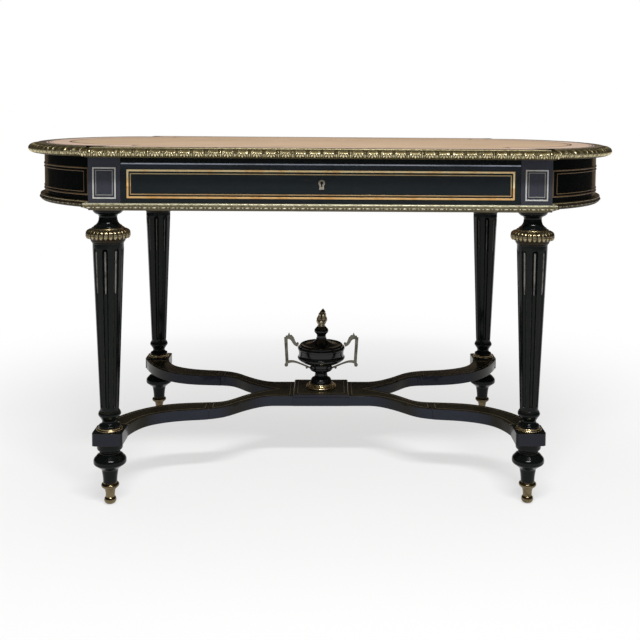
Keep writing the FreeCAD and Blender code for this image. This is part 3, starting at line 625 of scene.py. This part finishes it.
def outline_normals(points):
    """Unit normals of an outline that has its solid on the left of its way."""
    ahead = np.gradient(points, axis=0)
    ahead /= np.linalg.norm(ahead, axis=1)[:, None] + 1e-12
    return np.stack([ahead[:, 1], -ahead[:, 0]], axis=1)


def ridge(distance, width):
    return np.exp(-((distance / width) ** 2))


def step_up(value, low, high):
    """Smooth step from 0 to 1 between two values."""
    share = np.clip((value - low) / (high - low), 0, 1)
    return share * share * (3 - 2 * share)


def repeated(along, period):
    """Distance from the middle of the nearest repeat."""
    return (along + period / 2) % period - period / 2


def way_along(points):
    """Length of the way up to each point."""
    return np.concatenate([[0], np.cumsum(np.linalg.norm(np.diff(points, axis=0), axis=1))])


# Ornament of the two mouldings, in millimetres along and up the moulding
def leaf_and_dart(along, up):
    """Height from 0 to 1: a tongue with a dart, then a leaf of three lobes."""
    period = 29.0
    x = repeated(along, period)
    tongue_half, tongue_foot, rim_width, dart_width = 4.0, 2.4, 1.1, 1.2
    low_round = np.hypot(x, up - tongue_foot - tongue_half)
    upright = up > tongue_foot + tongue_half
    away = np.where(upright, np.abs(np.abs(x) - tongue_half), np.abs(low_round - tongue_half))
    inside = (np.abs(x) < tongue_half) & (upright | (low_round < tongue_half))
    dart = ridge(x, dart_width) * step_up(up, tongue_foot + 1.5, tongue_foot + 3.5)
    tongue = np.maximum(0.8 * ridge(away, rim_width), np.where(inside, 0.2 + 0.8 * dart, 0))
    leaf_x = np.abs(x) - period / 2
    leaf_root, leaf_reach, lobe_reach, lobe_turns = 22.0, 16.6, 3.0, 15.0
    reach = np.hypot(leaf_x, leaf_root - up)
    angle = np.arctan2(leaf_x, leaf_root - up)
    lobe = (0.5 + 0.5 * np.cos(lobe_turns * angle)) * step_up(reach, 3.0, 11.0)
    edge = leaf_reach - 3.5 * np.abs(angle) ** 1.5 + lobe_reach * lobe
    clear = step_up(np.abs(x), tongue_half + 0.6, tongue_half + 1.6)
    leaf = (0.3 + 0.7 * lobe) * step_up(edge - reach, 0.0, 1.6) * clear
    return np.clip(np.maximum(tongue, leaf), 0, 1)


def close_leaf_and_dart(along, up):
    """The same ornament drawn closer, as it runs round the curved ends."""
    closeness = 1.6
    return leaf_and_dart(closeness * along, up)


def bead_and_leaf(along, up):
    """Height from 0 to 1: a long bead, a small one and slanted ribs below them."""
    period, crest = 19.0, 9.6
    bead_half_length, bead_half_width, small_radius = 5.6, 2.5, 2.1
    rib_spacing = 4.6
    x = repeated(along, period)
    y = up - crest
    bead = 1 - np.hypot(x / bead_half_length, y / bead_half_width)
    small = 1 - np.hypot(np.abs(x) - period / 2, y) / small_radius
    beads = np.sqrt(np.clip(np.maximum(bead, small), 0, 1))
    slant = np.abs(x) - 0.85 * (crest - up)
    side_ribs = np.maximum(ridge(slant + rib_spacing, 0.8), ridge(slant - rib_spacing, 0.8))
    ribs = 0.62 * np.maximum(ridge(slant, 0.9), side_ribs)
    below = step_up(crest - 1.6 - up, 0.0, 1.6) * step_up(up, 0.6, 3.4)
    return np.clip(np.maximum(beads, ribs * below), 0, 1)


# Profiles in millimetres, outward and up, and the stretches of them that carry ornament
top_profile = (
    (0.0, 0.0), (9.0, 0.0), (12.4, 0.8), (19.4, 4.0, 22.0, 10.0), (18.8, 16.2, 7.6, 18.4),
    (7.2, 17.4), (5.4, 17.4), (5.4, 18.4), (4.64, 20.24, 2.8, 21.0), (0.0, 21.0),
)
top_ornament = (3, 4)
lower_profile = (
    (0.0, 0.0), (4.4, 0.0), (8.8, 2.0, 11.2, 5.4), (12.0, 8.2, 10.0, 10.6),
    (7.4, 11.0), (7.0, 11.6, 7.6, 12.3), (9.4, 12.6), (9.7, 13.5, 9.2, 14.6), (8.6, 15.0), (0.0, 15.0),
)
lower_ornament = (2, 3)


class Moulding:
    """A profile that is swept along runs, with its ornament carved into some stretches.

    The shade argument gives a painted shade: how much the ornament dims from one share of its
    height to another. Plain is the brightness of the other stretches, and the foot argument the
    height up to which a painted shadow darkens the foot.
    """

    def __init__(self, profile, carved_stretches, depth, pattern, painted_shade, plain, shadow_foot, step=0.9):
        self.points, stretch = trace(profile, step)
        self.normals = outline_normals(self.points)
        self.width = self.points[:, 0].max() * mm
        self.carved = np.isin(stretch, carved_stretches)
        climbed = way_along(self.points)
        self.up = climbed - climbed[np.argmax(self.carved)]
        height = self.up[self.carved].max()
        rim = 1.2
        self.fade = np.where(
            self.carved, step_up(self.up, 0, rim) * step_up(height - self.up, 0, rim), 0
        )
        self.depth = depth
        self.pattern = pattern
        self.plain = plain
        # Painted shade on the upper ornament and a painted shadow along the foot, both kept in the relief
        # values
        strength, low_share, high_share = painted_shade
        upper_shade = strength * self.carved * step_up(self.up, low_share * height, high_share * height)
        self.tone = (1 - upper_shade) * step_up(self.points[:, 1], -0.5, shadow_foot)

    def shape(self, along):
        """Out and up of each profile point, and its relief with painted shade, for each place along."""
        along_grid, up_grid = np.meshgrid(along, self.up, indexing="ij")
        height = self.pattern(along_grid, up_grid)
        cut = self.depth * (1 - height) * self.fade
        out = self.points[:, 0] - self.normals[:, 0] * cut
        rise = self.points[:, 1] - self.normals[:, 1] * cut
        relief = np.where(self.carved, height, self.plain) * self.tone
        return out * mm, rise * mm, relief


moulding_spacing, end_spacing = 1.15 * mm, 1.05 * mm


def straight_run(moulding, start, end, level, outward, mitres):
    """Points of a run along X (outward is a sign in Y) or along Y (outward is a sign in X).

    The run lies at a level across its way, and mitres are the places where its ends are cut at
    45 degrees, or None for a square end.
    """
    count = max(2, math.ceil(abs(end - start) / moulding_spacing))
    places = np.linspace(start, end, count + 1)
    out, rise, relief = moulding.shape(places / mm)
    along = np.repeat(places[:, None], out.shape[1], axis=1)
    low, high = mitres
    if low is not None:
        along = np.maximum(along, low - out)
    if high is not None:
        along = np.minimum(along, high + out)
    across = outward * (level + out)
    return along, across, rise, relief


def joined_piece(node_name, parts, material):
    """One mesh in a node's place from grids of points, each with a turn that faces it outward."""
    points, faces, relief = [], [], []
    for x, y, z, height, turn in parts:
        start = len(points)
        rows, columns = x.shape
        points.extend(np.stack([x, y, z], axis=-1).reshape(-1, 3).tolist())
        faces.extend(grid_faces(rows, columns, start=start, turn=turn))
        relief.extend(height.ravel())
    values = {"relief": relief}
    made = piece("fine_" + node_name, points, faces, "carcase", material, values)
    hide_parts(node_name)


# Shade values: painted shade over the upper ornament and a painted shadow at the foot
top_moulding = Moulding(
    top_profile, top_ornament, 1.7, leaf_and_dart, painted_shade=(0.86, 0.40, 0.74), plain=0.45, shadow_foot=4.5
)
top_end_moulding = Moulding(
    top_profile, top_ornament, 1.7, close_leaf_and_dart,
    painted_shade=(0.45, 0.40, 0.74), plain=0.45, shadow_foot=4.5,
)
lower_moulding = Moulding(
    lower_profile, lower_ornament, 1.6, bead_and_leaf,
    painted_shade=(0.0, 0.0, 1.0), plain=0.85, shadow_foot=0.2, step=0.7,
)


def swept_up(rise, reach, sweep):
    """Heights whose lower part sweeps up near the corners, which lie at reach 0."""
    sweep_length = 26.0 * mm
    return np.maximum(rise, sweep * np.clip(1 - reach / sweep_length, 0, 1))


def moulding_round(moulding, name, material, corner_x, front_y, return_y, base_z, side_sign, sweep=0.0):
    """Long run with its two mitred returns; the underside may sweep up toward the corners."""
    outer_x = corner_x + moulding.width
    along, across, rise, relief = straight_run(
        moulding, -outer_x, outer_x, front_y, side_sign, (-corner_x, corner_x)
    )
    rise = swept_up(rise, outer_x - np.abs(along), sweep)
    parts = [(along, across, rise + base_z, relief, side_sign > 0)]
    for end_sign in (-1, 1):
        along, across, rise, relief = straight_run(
            moulding, return_y, front_y + moulding.width, corner_x, end_sign, (None, front_y)
        )
        rise = swept_up(rise, outer_x - np.abs(across), sweep)
        parts.append((across, along * side_sign, rise + base_z, relief, end_sign * side_sign < 0))
    joined_piece(name, parts, material)


def moulding_end(moulding, name, material, base_points, outward, base_z, sign):
    """Run along the curved end, from base points and outward directions.

    The ornament is as long as it should be at a share of the moulding's width.
    """
    true_share = 0.7
    length = way_along(base_points + outward * true_share * moulding.width)
    length -= length[-1] / 2
    out, rise, relief = moulding.shape(length / mm)
    x = sign * (base_points[:, :1] + outward[:, :1] * out)
    y = base_points[:, 1:] + outward[:, 1:] * out
    joined_piece(name, [(x, y, rise + base_z, relief, sign < 0)], material)


def even_angles(point_at, low, high, step):
    """Angles between two limits whose points stand evenly apart."""
    fine = np.linspace(low, high, 2000)
    length = way_along(point_at(fine))
    count = math.ceil(length[-1] / step)
    return np.interp(np.linspace(0, length[-1], count + 1), length, fine)


def ellipse_end(angle):
    return np.stack(
        [top_corner_x + top_end_reach * np.cos(angle), top_end_half_width * np.sin(angle)], axis=1
    )


def ellipse_out(angle):
    way = np.stack([np.cos(angle) / top_end_reach, np.sin(angle) / top_end_half_width], axis=1)
    return way / np.linalg.norm(way, axis=1)[:, None]


def build_mouldings():
    """Front and back lengths that return round the corners, and the lengths on the curved ends."""
    top_return, lower_return, lower_sweep, hidden_end = 5.0 * mm, 47.0 * mm, 7.0 * mm, 1.0 * mm
    for side, side_sign in (("front", -1), ("back", 1)):
        moulding_round(
            top_moulding, "top_moulding_" + side, cast_brass, top_corner_x, top_front_y,
            top_end_half_width - top_return, underside, side_sign,
        )
        moulding_round(
            lower_moulding, "lower_moulding_" + side, lower_brass, block_outer_x, carcase_front_y,
            carcase_front_y - lower_return, frieze_bottom, side_sign, lower_sweep,
        )
    top_limit = math.acos((top_moulding_width - hidden_end) / top_end_reach)
    top_angles = even_angles(ellipse_end, -top_limit, top_limit, end_spacing)
    top_base, top_way = ellipse_end(top_angles), ellipse_out(top_angles)
    lower_limit = math.acos(
        (block_outer_x + lower_moulding_width - end_arc_centre_x) / (end_arc_radius + lower_moulding_width)
    )
    lower_count = math.ceil(2 * lower_limit * end_arc_radius / moulding_spacing)
    lower_angles = np.linspace(-lower_limit, lower_limit, lower_count)
    lower_way = np.stack([np.cos(lower_angles), np.sin(lower_angles)], axis=1)
    lower_base = lower_way * end_arc_radius + np.array([end_arc_centre_x, 0])
    for end, end_sign in (("left", -1), ("right", 1)):
        moulding_end(
            top_end_moulding, "top_moulding_" + end, cast_brass, top_base, top_way, underside, end_sign
        )
        moulding_end(
            lower_moulding, "lower_moulding_" + end, collar_brass, lower_base, lower_way,
            frieze_bottom, end_sign,
        )


build_mouldings()


# Leather with its tooled border
def top_outline(inset, arc_steps, straight_steps):
    """Closed outline of the top, drawn in by an inset."""
    corner_x = top_corner_x - inset
    front_y = top_front_y - inset
    half_width = top_end_half_width - inset
    angle = np.linspace(-math.pi / 2, math.pi / 2, arc_steps + 1)
    x = corner_x + top_end_reach * np.cos(angle)
    y = half_width * np.sin(angle)
    half = [(corner_x, -front_y)] + list(zip(x, y)) + [(corner_x, front_y)]
    straight = np.linspace(corner_x, -corner_x, straight_steps + 1)[1:-1]
    half += [(value, front_y) for value in straight]
    return np.array(half + [(-x, -y) for x, y in half])


def build_leather():
    """Rings from the edge inward, whose inset the tooled lines follow, and one face in the middle."""
    rim, line_step, wide_step, middle_half_width = 0.4 * mm, 1.5 * mm, 6.0 * mm, 4.0 * mm
    fine_rings, wide_rings = 44, 16
    insets = [leather_inset, leather_inset + rim]
    insets += [leather_inset + k * line_step for k in range(1, fine_rings + 1)]
    innermost = top_end_half_width - middle_half_width
    insets += list(np.linspace(insets[-1] + wide_step, innermost, wide_rings))
    rings, depth = [], []
    for number, inset in enumerate(insets):
        ring = top_outline(inset, arc_steps=96, straight_steps=60)
        level = leather_level - (rim if number == 0 else 0)
        rings.append(np.column_stack([ring, np.full(len(ring), level)]))
        depth.extend([inset] * len(ring))
    count = len(rings[0])
    points = np.concatenate(rings).tolist()
    faces = grid_faces(len(rings), count, close_columns=True)
    faces.append(tuple(range((len(rings) - 1) * count, len(rings) * count)))
    made = piece("hide_top", points, faces, "carcase", hide, values={"inset": depth})
    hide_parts("leather_top")


build_leather()


# Turned brass pieces
def lathe(name, profile, centre, base_z, segments, carve, node_replaced, material, step=0.7, lean=0.0):
    """Turned piece whose carved depth and relief depend on the angle and the place on its profile.

    Its top leans to the right by lean, in millimetres.
    """
    points, stretch = trace(profile, step)
    normals = outline_normals(points)
    angle = np.linspace(0, 2 * math.pi, segments, endpoint=False)
    angle_grid, climbed_grid = np.meshgrid(angle, way_along(points), indexing="ij")
    stretch_grid = np.broadcast_to(stretch, angle_grid.shape)
    cut, relief = carve(angle_grid, climbed_grid, stretch_grid, points)
    radius = (points[:, 0] - normals[:, 0] * cut) * mm
    height = (points[:, 1] - normals[:, 1] * cut) * mm + base_z
    tall = points[:, 1] / points[:, 1].max()
    x = centre[0] + radius * np.cos(angle_grid) + lean * mm * tall**1.5
    y = centre[1] + radius * np.sin(angle_grid)
    grid = np.stack([x, y, height], axis=-1).reshape(-1, 3).tolist()
    faces = grid_faces(segments, len(points), close_rows=True, turn=True)
    made = piece(name, grid, faces, "carcase", material, values={"relief": relief})
    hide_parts(node_replaced)


collar_profile = (
    (29.0, 0.0), (33.0, 0.0), (35.6, 1.5, 37.0, 4.5), (44.4, 9.1, 45.7, 16.0), (44.2, 22.5, 37.8, 26.5),
    (33.8, 27.7), (33.2, 29.6, 31.2, 29.9), (29.8, 29.1), (29.0, 29.9), (28.8, 30.0),
)
leaf_count, points_per_leaf = 28, 14


def collar_leaves(angle, climbed, stretch, points):
    """Leaves that hang from the neck bead over the bulge, with a plain foot below them."""
    foot_stretch, neck_stretch = 2, 5
    carved = (stretch >= foot_stretch) & (stretch <= neck_stretch)
    first = climbed[carved].min()
    tall = climbed[carved].max() - first
    share = np.clip((climbed - first) / tall, 0, 1)
    turn = np.abs((angle / (2 * math.pi) * leaf_count) % 1 - 0.5)
    leaf_half, tip_share, round_share = 0.47, 0.30, 0.60
    tip = np.clip((round_share - share) / (round_share - tip_share), 0, 1)
    width = leaf_half * np.sqrt(np.clip(1 - tip**2, 0, 1))
    inside = step_up(width - turn, 0.0, 0.08)
    crown = 1 - 0.5 * (turn / leaf_half) ** 2
    rib = 0.25 * ridge(turn, 0.05) - 0.25 * ridge(turn - 0.17, 0.05)
    height = np.where(carved, inside * np.clip(crown + rib, 0, 1), 1.0)
    deepest = 1.7
    depth = deepest * step_up(share, 0.0, 0.15) * step_up(1 - share, 0.0, 0.06)
    tone = np.where(stretch <= foot_stretch, 0.0, np.where(carved, height, 1.0))
    return np.where(carved, depth * (1 - height), 0), tone


for corner, (x_sign, y_sign) in corner_signs.items():
    lathe(
        "fine_leg_collar_" + corner, collar_profile, (x_sign * leg_x, y_sign * leg_y), collar_bottom,
        leaf_count * points_per_leaf, collar_leaves, "leg_collar_" + corner, collar_brass,
    )


flame_height, flame_segments = 43.0, 180
finial_profile = (
    (0.0, 0.0), (9.2, 0.0), (11.0, 5.6, 13.6, 10.6), (14.0, 16.6, 11.0, 22.6), (9.4, 26.6),
    (8.6, 32.6, 4.0, 38.6), (0.05, flame_height),
)


def flame_tongues(angle, climbed, stretch, points):
    """Two tiers of broad pointed tongues and a twisted tip, with painted shade near the top."""
    height = np.broadcast_to(points[:, 1], angle.shape)
    tier_start, tier_height, tongue_count, twist, depth = 1.0, 15.5, 6, 0.12, 3.0
    tier = np.clip(np.floor((height - tier_start) / tier_height), 0, 2)
    share = np.clip((height - tier_start - tier * tier_height) / tier_height, 0, 1)
    turn = angle / (2 * math.pi) * tongue_count + tier * 0.5 + twist * height / tier_height
    turn = np.abs(turn % 1 - 0.5)
    inside = step_up(0.5 * (1 - share**2.4) - turn, -0.05, 0.07)
    crown = inside * (1 - 0.55 * (turn * 2) ** 2) * (0.45 + 0.55 * share)
    crown = crown + 0.25 * ridge(turn, 0.06) * inside
    fade = step_up(height, 0.5, 2.5) * step_up(flame_height - height, 0.0, 6.0)
    # Painted shade darkens the flame near its top
    tip_shade = step_up(height, flame_height - 10.0, flame_height - 5.0)
    tone = (crown * 0.8 + 0.2) * (1 - 0.7 * tip_shade)
    return depth * np.clip(1 - crown, 0, 1) * fade, tone


lathe(
    "fine_finial", finial_profile, (0.0, 0.0), finial_bottom, flame_segments, flame_tongues,
    "urn_finial", flame_brass, step=0.6, lean=3.8,
)


# Soft edges on the flat pieces
def soften(name, width, segments=2):
    """Round the edges of a node's mesh, whose doubled points are joined first."""
    node = nodes[name]
    weld = node.modifiers.new("weld", "WELD")
    weld.merge_threshold = weld_reach
    bevel = node.modifiers.new("edge", "BEVEL")
    bevel.width = width
    bevel.segments = segments
    bevel.limit_method = "ANGLE"
    bevel.angle_limit = sharp_angle
    bevel.harden_normals = True


wood_edge, cast_edge, strip_edge, weld_reach = 0.9 * mm, 1.3 * mm, 0.5 * mm, 0.01 * mm
flat_wood = ("corner_block", "front_", "drawer_front", "top_panel", "back_frieze", "stretcher_")
for name in nodes:
    if name.startswith(flat_wood):
        soften(name, wood_edge)
    if name.startswith("urn_handle"):
        soften(name, cast_edge, 3)
    if name in ("carcase_fillets", "drawer_fillets"):
        soften(name, strip_edge)


# Inlaid lines on the stretcher
def top_face_loop(node, level):
    """Outline of the largest level face of a node at a height, as points in order."""
    edges = {}
    mesh = node.data
    upward, level_reach = 0.99, 0.3 * mm
    for face in mesh.polygons:
        corners = [node.matrix_world @ mesh.vertices[i].co for i in face.vertices]
        if face.normal.z < upward or abs(corners[0].z - level) > level_reach:
            continue
        keys = [(round(p.x / mm, 2), round(p.y / mm, 2)) for p in corners]
        for here, there in zip(keys, keys[1:] + keys[:1]):
            if (there, here) in edges:
                del edges[(there, here)]
            else:
                edges[(here, there)] = True
    after = dict(edges.keys())
    loops = []
    while after:
        start, here = after.popitem()
        loop = [start]
        while here != start and here in after:
            loop.append(here)
            here = after.pop(here)
        loops.append(loop)
    longest = max(loops, key=lambda loop: sum(
        math.dist(a, b) for a, b in zip(loop, loop[1:] + loop[:1])
    ))
    return np.array(longest) * mm


def even_loop(loop, spacing, corner_angle=25.0):
    """Loop resampled at even places between its corners, which turn by more than corner_angle."""
    count = len(loop)
    before = loop - np.roll(loop, 1, axis=0)
    ahead = np.roll(loop, -1, axis=0) - loop
    turn = np.degrees(np.arctan2(
        before[:, 0] * ahead[:, 1] - before[:, 1] * ahead[:, 0], (before * ahead).sum(axis=1)
    ))
    corners = [k for k in range(count) if abs(turn[k]) > corner_angle] or [0]
    points = []
    for first, last in zip(corners, corners[1:] + [corners[0] + count]):
        run = loop[[k % count for k in range(first, last + 1)]]
        length = way_along(run)
        steps = max(1, round(length[-1] / spacing))
        places = np.linspace(0, length[-1], steps + 1)[:-1]
        points.append(np.stack([np.interp(places, length, run[:, axis]) for axis in (0, 1)], axis=1))
    return np.concatenate(points)


def drawn_in(loop, inset):
    """Loop that runs counterclockwise, moved inward with mitred corners."""
    before = loop - np.roll(loop, 1, axis=0)
    ahead = np.roll(loop, -1, axis=0) - loop
    normals = []
    for way in (before, ahead):
        way = way / (np.linalg.norm(way, axis=1)[:, None] + 1e-12)
        normals.append(np.stack([-way[:, 1], way[:, 0]], axis=1))
    mitre = normals[0] + normals[1]
    sharpest = 0.4
    mitre /= np.maximum((mitre * normals[0]).sum(axis=1), sharpest)[:, None]
    return loop + mitre * inset


def build_stringing():
    """Pale inlaid line a little inside the edge of each piece of the stretcher."""
    inset, width, proud, point_spacing = 7.5 * mm, 1.5 * mm, 0.15 * mm, 5.0 * mm
    for name in [name for name in nodes if name.startswith("stretcher_")]:
        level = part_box(name)[1].z
        loop = even_loop(top_face_loop(nodes[name], level), point_spacing)
        outer, inner = drawn_in(loop, inset), drawn_in(loop, inset + width)
        rings = [(outer, -proud), (outer, proud), (inner, proud), (inner, -proud)]
        points = [(x, y, level + rise) for ring, rise in rings for x, y in ring]
        faces = grid_faces(len(rings), len(loop), close_rows=True, close_columns=True)
        piece("stringing_" + name, points, faces, "carcase", pale_inlay)


build_stringing()


# Floor, screens and light
def matt_shader(name, colour, roughness):
    s = Shader(name)
    s.set(Base_Color=(*colour, 1.0), Roughness=roughness, Specular_IOR_Level=0.0)
    return s


def stage_mesh(name, points, faces, material):
    """Mesh of the studio, which is no part of the desk."""
    mesh = bpy.data.meshes.new(name)
    mesh.from_pydata(points, [], faces)
    made = bpy.data.objects.new(name, mesh)
    bpy.context.scene.collection.objects.link(made)
    mesh.materials.append(material)
    return made


def build_floor():
    """Pale floor that turns white away from the desk, for rays that see the background."""
    reach, white_from, white_at, least_white = 30.0, 0.5, 1.7, 0.6
    corners = [(-reach, -reach, 0), (reach, -reach, 0), (reach, reach, 0), (-reach, reach, 0)]
    s = matt_shader("pale_floor", (0.86, 0.86, 0.86), 0.9)
    away = s.tree.nodes.new("ShaderNodeVectorMath")
    away.operation = "LENGTH"
    s.put(away.inputs[0], s.place)
    far = s.spread(away.outputs["Value"], white_from, white_at, least_white, 1.0)
    glow = s.tree.nodes.new("ShaderNodeEmission")
    glow.inputs["Strength"].default_value = 1.0
    mixed = s.tree.nodes.new("ShaderNodeMixShader")
    s.put(mixed.inputs["Fac"], s.maths("MULTIPLY", far, background_rays(s.tree)))
    s.put(mixed.inputs[1], s.surface.outputs[0])
    s.put(mixed.inputs[2], glow.outputs[0])
    s.put(s.tree.nodes["Material Output"].inputs["Surface"], mixed.outputs[0])
    stage_mesh("studio_floor", corners, [(0, 1, 2, 3)], s.material)


def background_rays(tree):
    """1 for rays that see the background: from the camera, in a gloss or through glass."""
    path = tree.nodes.new("ShaderNodeLightPath")
    value = path.outputs["Is Camera Ray"]
    for name in ("Is Glossy Ray", "Is Transmission Ray"):
        either = tree.nodes.new("ShaderNodeMath")
        either.operation = "MAXIMUM"
        tree.links.new(value, either.inputs[0])
        tree.links.new(path.outputs[name], either.inputs[1])
        value = either.outputs[0]
    return value


def build_world():
    """White where rays see the background, and an even dimmer light otherwise."""
    world = bpy.data.worlds.new("studio_world")
    bpy.context.scene.world = world
    world.use_nodes = True
    tree = world.node_tree
    background = tree.nodes["Background"]
    strength = tree.nodes.new("ShaderNodeMapRange")
    strength.inputs["To Min"].default_value = 0.42
    strength.inputs["To Max"].default_value = 1.0
    tree.links.new(background_rays(tree), strength.inputs["Value"])
    background.inputs["Color"].default_value = (1, 1, 1, 1)
    tree.links.new(strength.outputs["Result"], background.inputs["Strength"])


flat_radius = 4.2


def studio_flat(name, first, last, low, high, colour, top_radius=flat_radius):
    """Screen between two headings in degrees and two heights, which only the gloss shows."""
    steps = max(2, round(abs(last - first) / 5))
    points = []
    for k in range(steps + 1):
        angle = math.radians(first + (last - first) * k / steps)
        for reach, z in ((flat_radius, low), (top_radius, high)):
            points.append((reach * math.cos(angle), reach * math.sin(angle), z))
    faces = [(2 * k, 2 * k + 1, 2 * k + 3, 2 * k + 2) for k in range(steps)]
    flat = stage_mesh(name, points, faces, matt_shader(name, colour, 1.0).material)
    flat.visible_camera = False
    flat.visible_diffuse = False
    flat.visible_shadow = False


def build_studio_flats():
    """Pale screen low in front, dark and brown ones at the sides, dark above and as a ceiling."""
    pale, dark = (0.32, 0.34, 0.38), (0.05, 0.045, 0.04)
    brown, warm, ceiling = (0.24, 0.18, 0.12), (0.38, 0.29, 0.20), (0.10, 0.09, 0.07)
    low, split, top = 0.02, 1.25, 3.6
    studio_flat("pale_flat_front", -138, -42, low, split, pale)
    studio_flat("dark_flat_left", -220, -138, low, split, dark)
    studio_flat("dark_flat_right", -42, 40, low, split, dark)
    studio_flat("brown_flat_left", -270, -220, low, split, brown)
    studio_flat("brown_flat_right", 40, 90, low, split, warm)
    studio_flat("dark_flat_above", -180, 180, split, top, dark)
    studio_flat("dark_ceiling", -180, 180, top, top, ceiling, 0.0)


def area_light(name, place, aim, width, depth, power):
    """Rectangular lamp turned to an aim, in metres and watts."""
    data = bpy.data.lights.new(name, "AREA")
    data.shape = "RECTANGLE"
    data.size, data.size_y = width, depth
    data.energy = power
    lamp = bpy.data.objects.new(name, data)
    lamp.location = place
    lamp.rotation_euler = (Vector(aim) - Vector(place)).to_track_quat("-Z", "Y").to_euler()
    bpy.context.scene.collection.objects.link(lamp)


build_floor()
build_world()
build_studio_flats()
area_light("key_light", (0.25, -2.0, 3.0), (0.0, 0.0, 0.5), 1.5, 0.3, 84.0)
area_light("top_light", (-0.3, 0.6, 3.2), (0.0, 0.1, 0.6), 1.6, 1.0, 14.0)

# Camera fitted to the photograph
camera_data = bpy.data.cameras.new("camera")
camera = bpy.data.objects.new("camera", camera_data)
bpy.context.scene.collection.objects.link(camera)
camera_data.sensor_width = 36.0
camera_data.lens = 53.5
camera_data.shift_x = -0.0452
camera_data.shift_y = -0.2387
camera.location = (0.0081, -2.2807, 0.8448)
camera.rotation_euler = (math.radians(86.356), -0.00788, -0.0239)
bpy.context.scene.camera = camera
bpy.context.scene.view_settings.view_transform = "Standard"
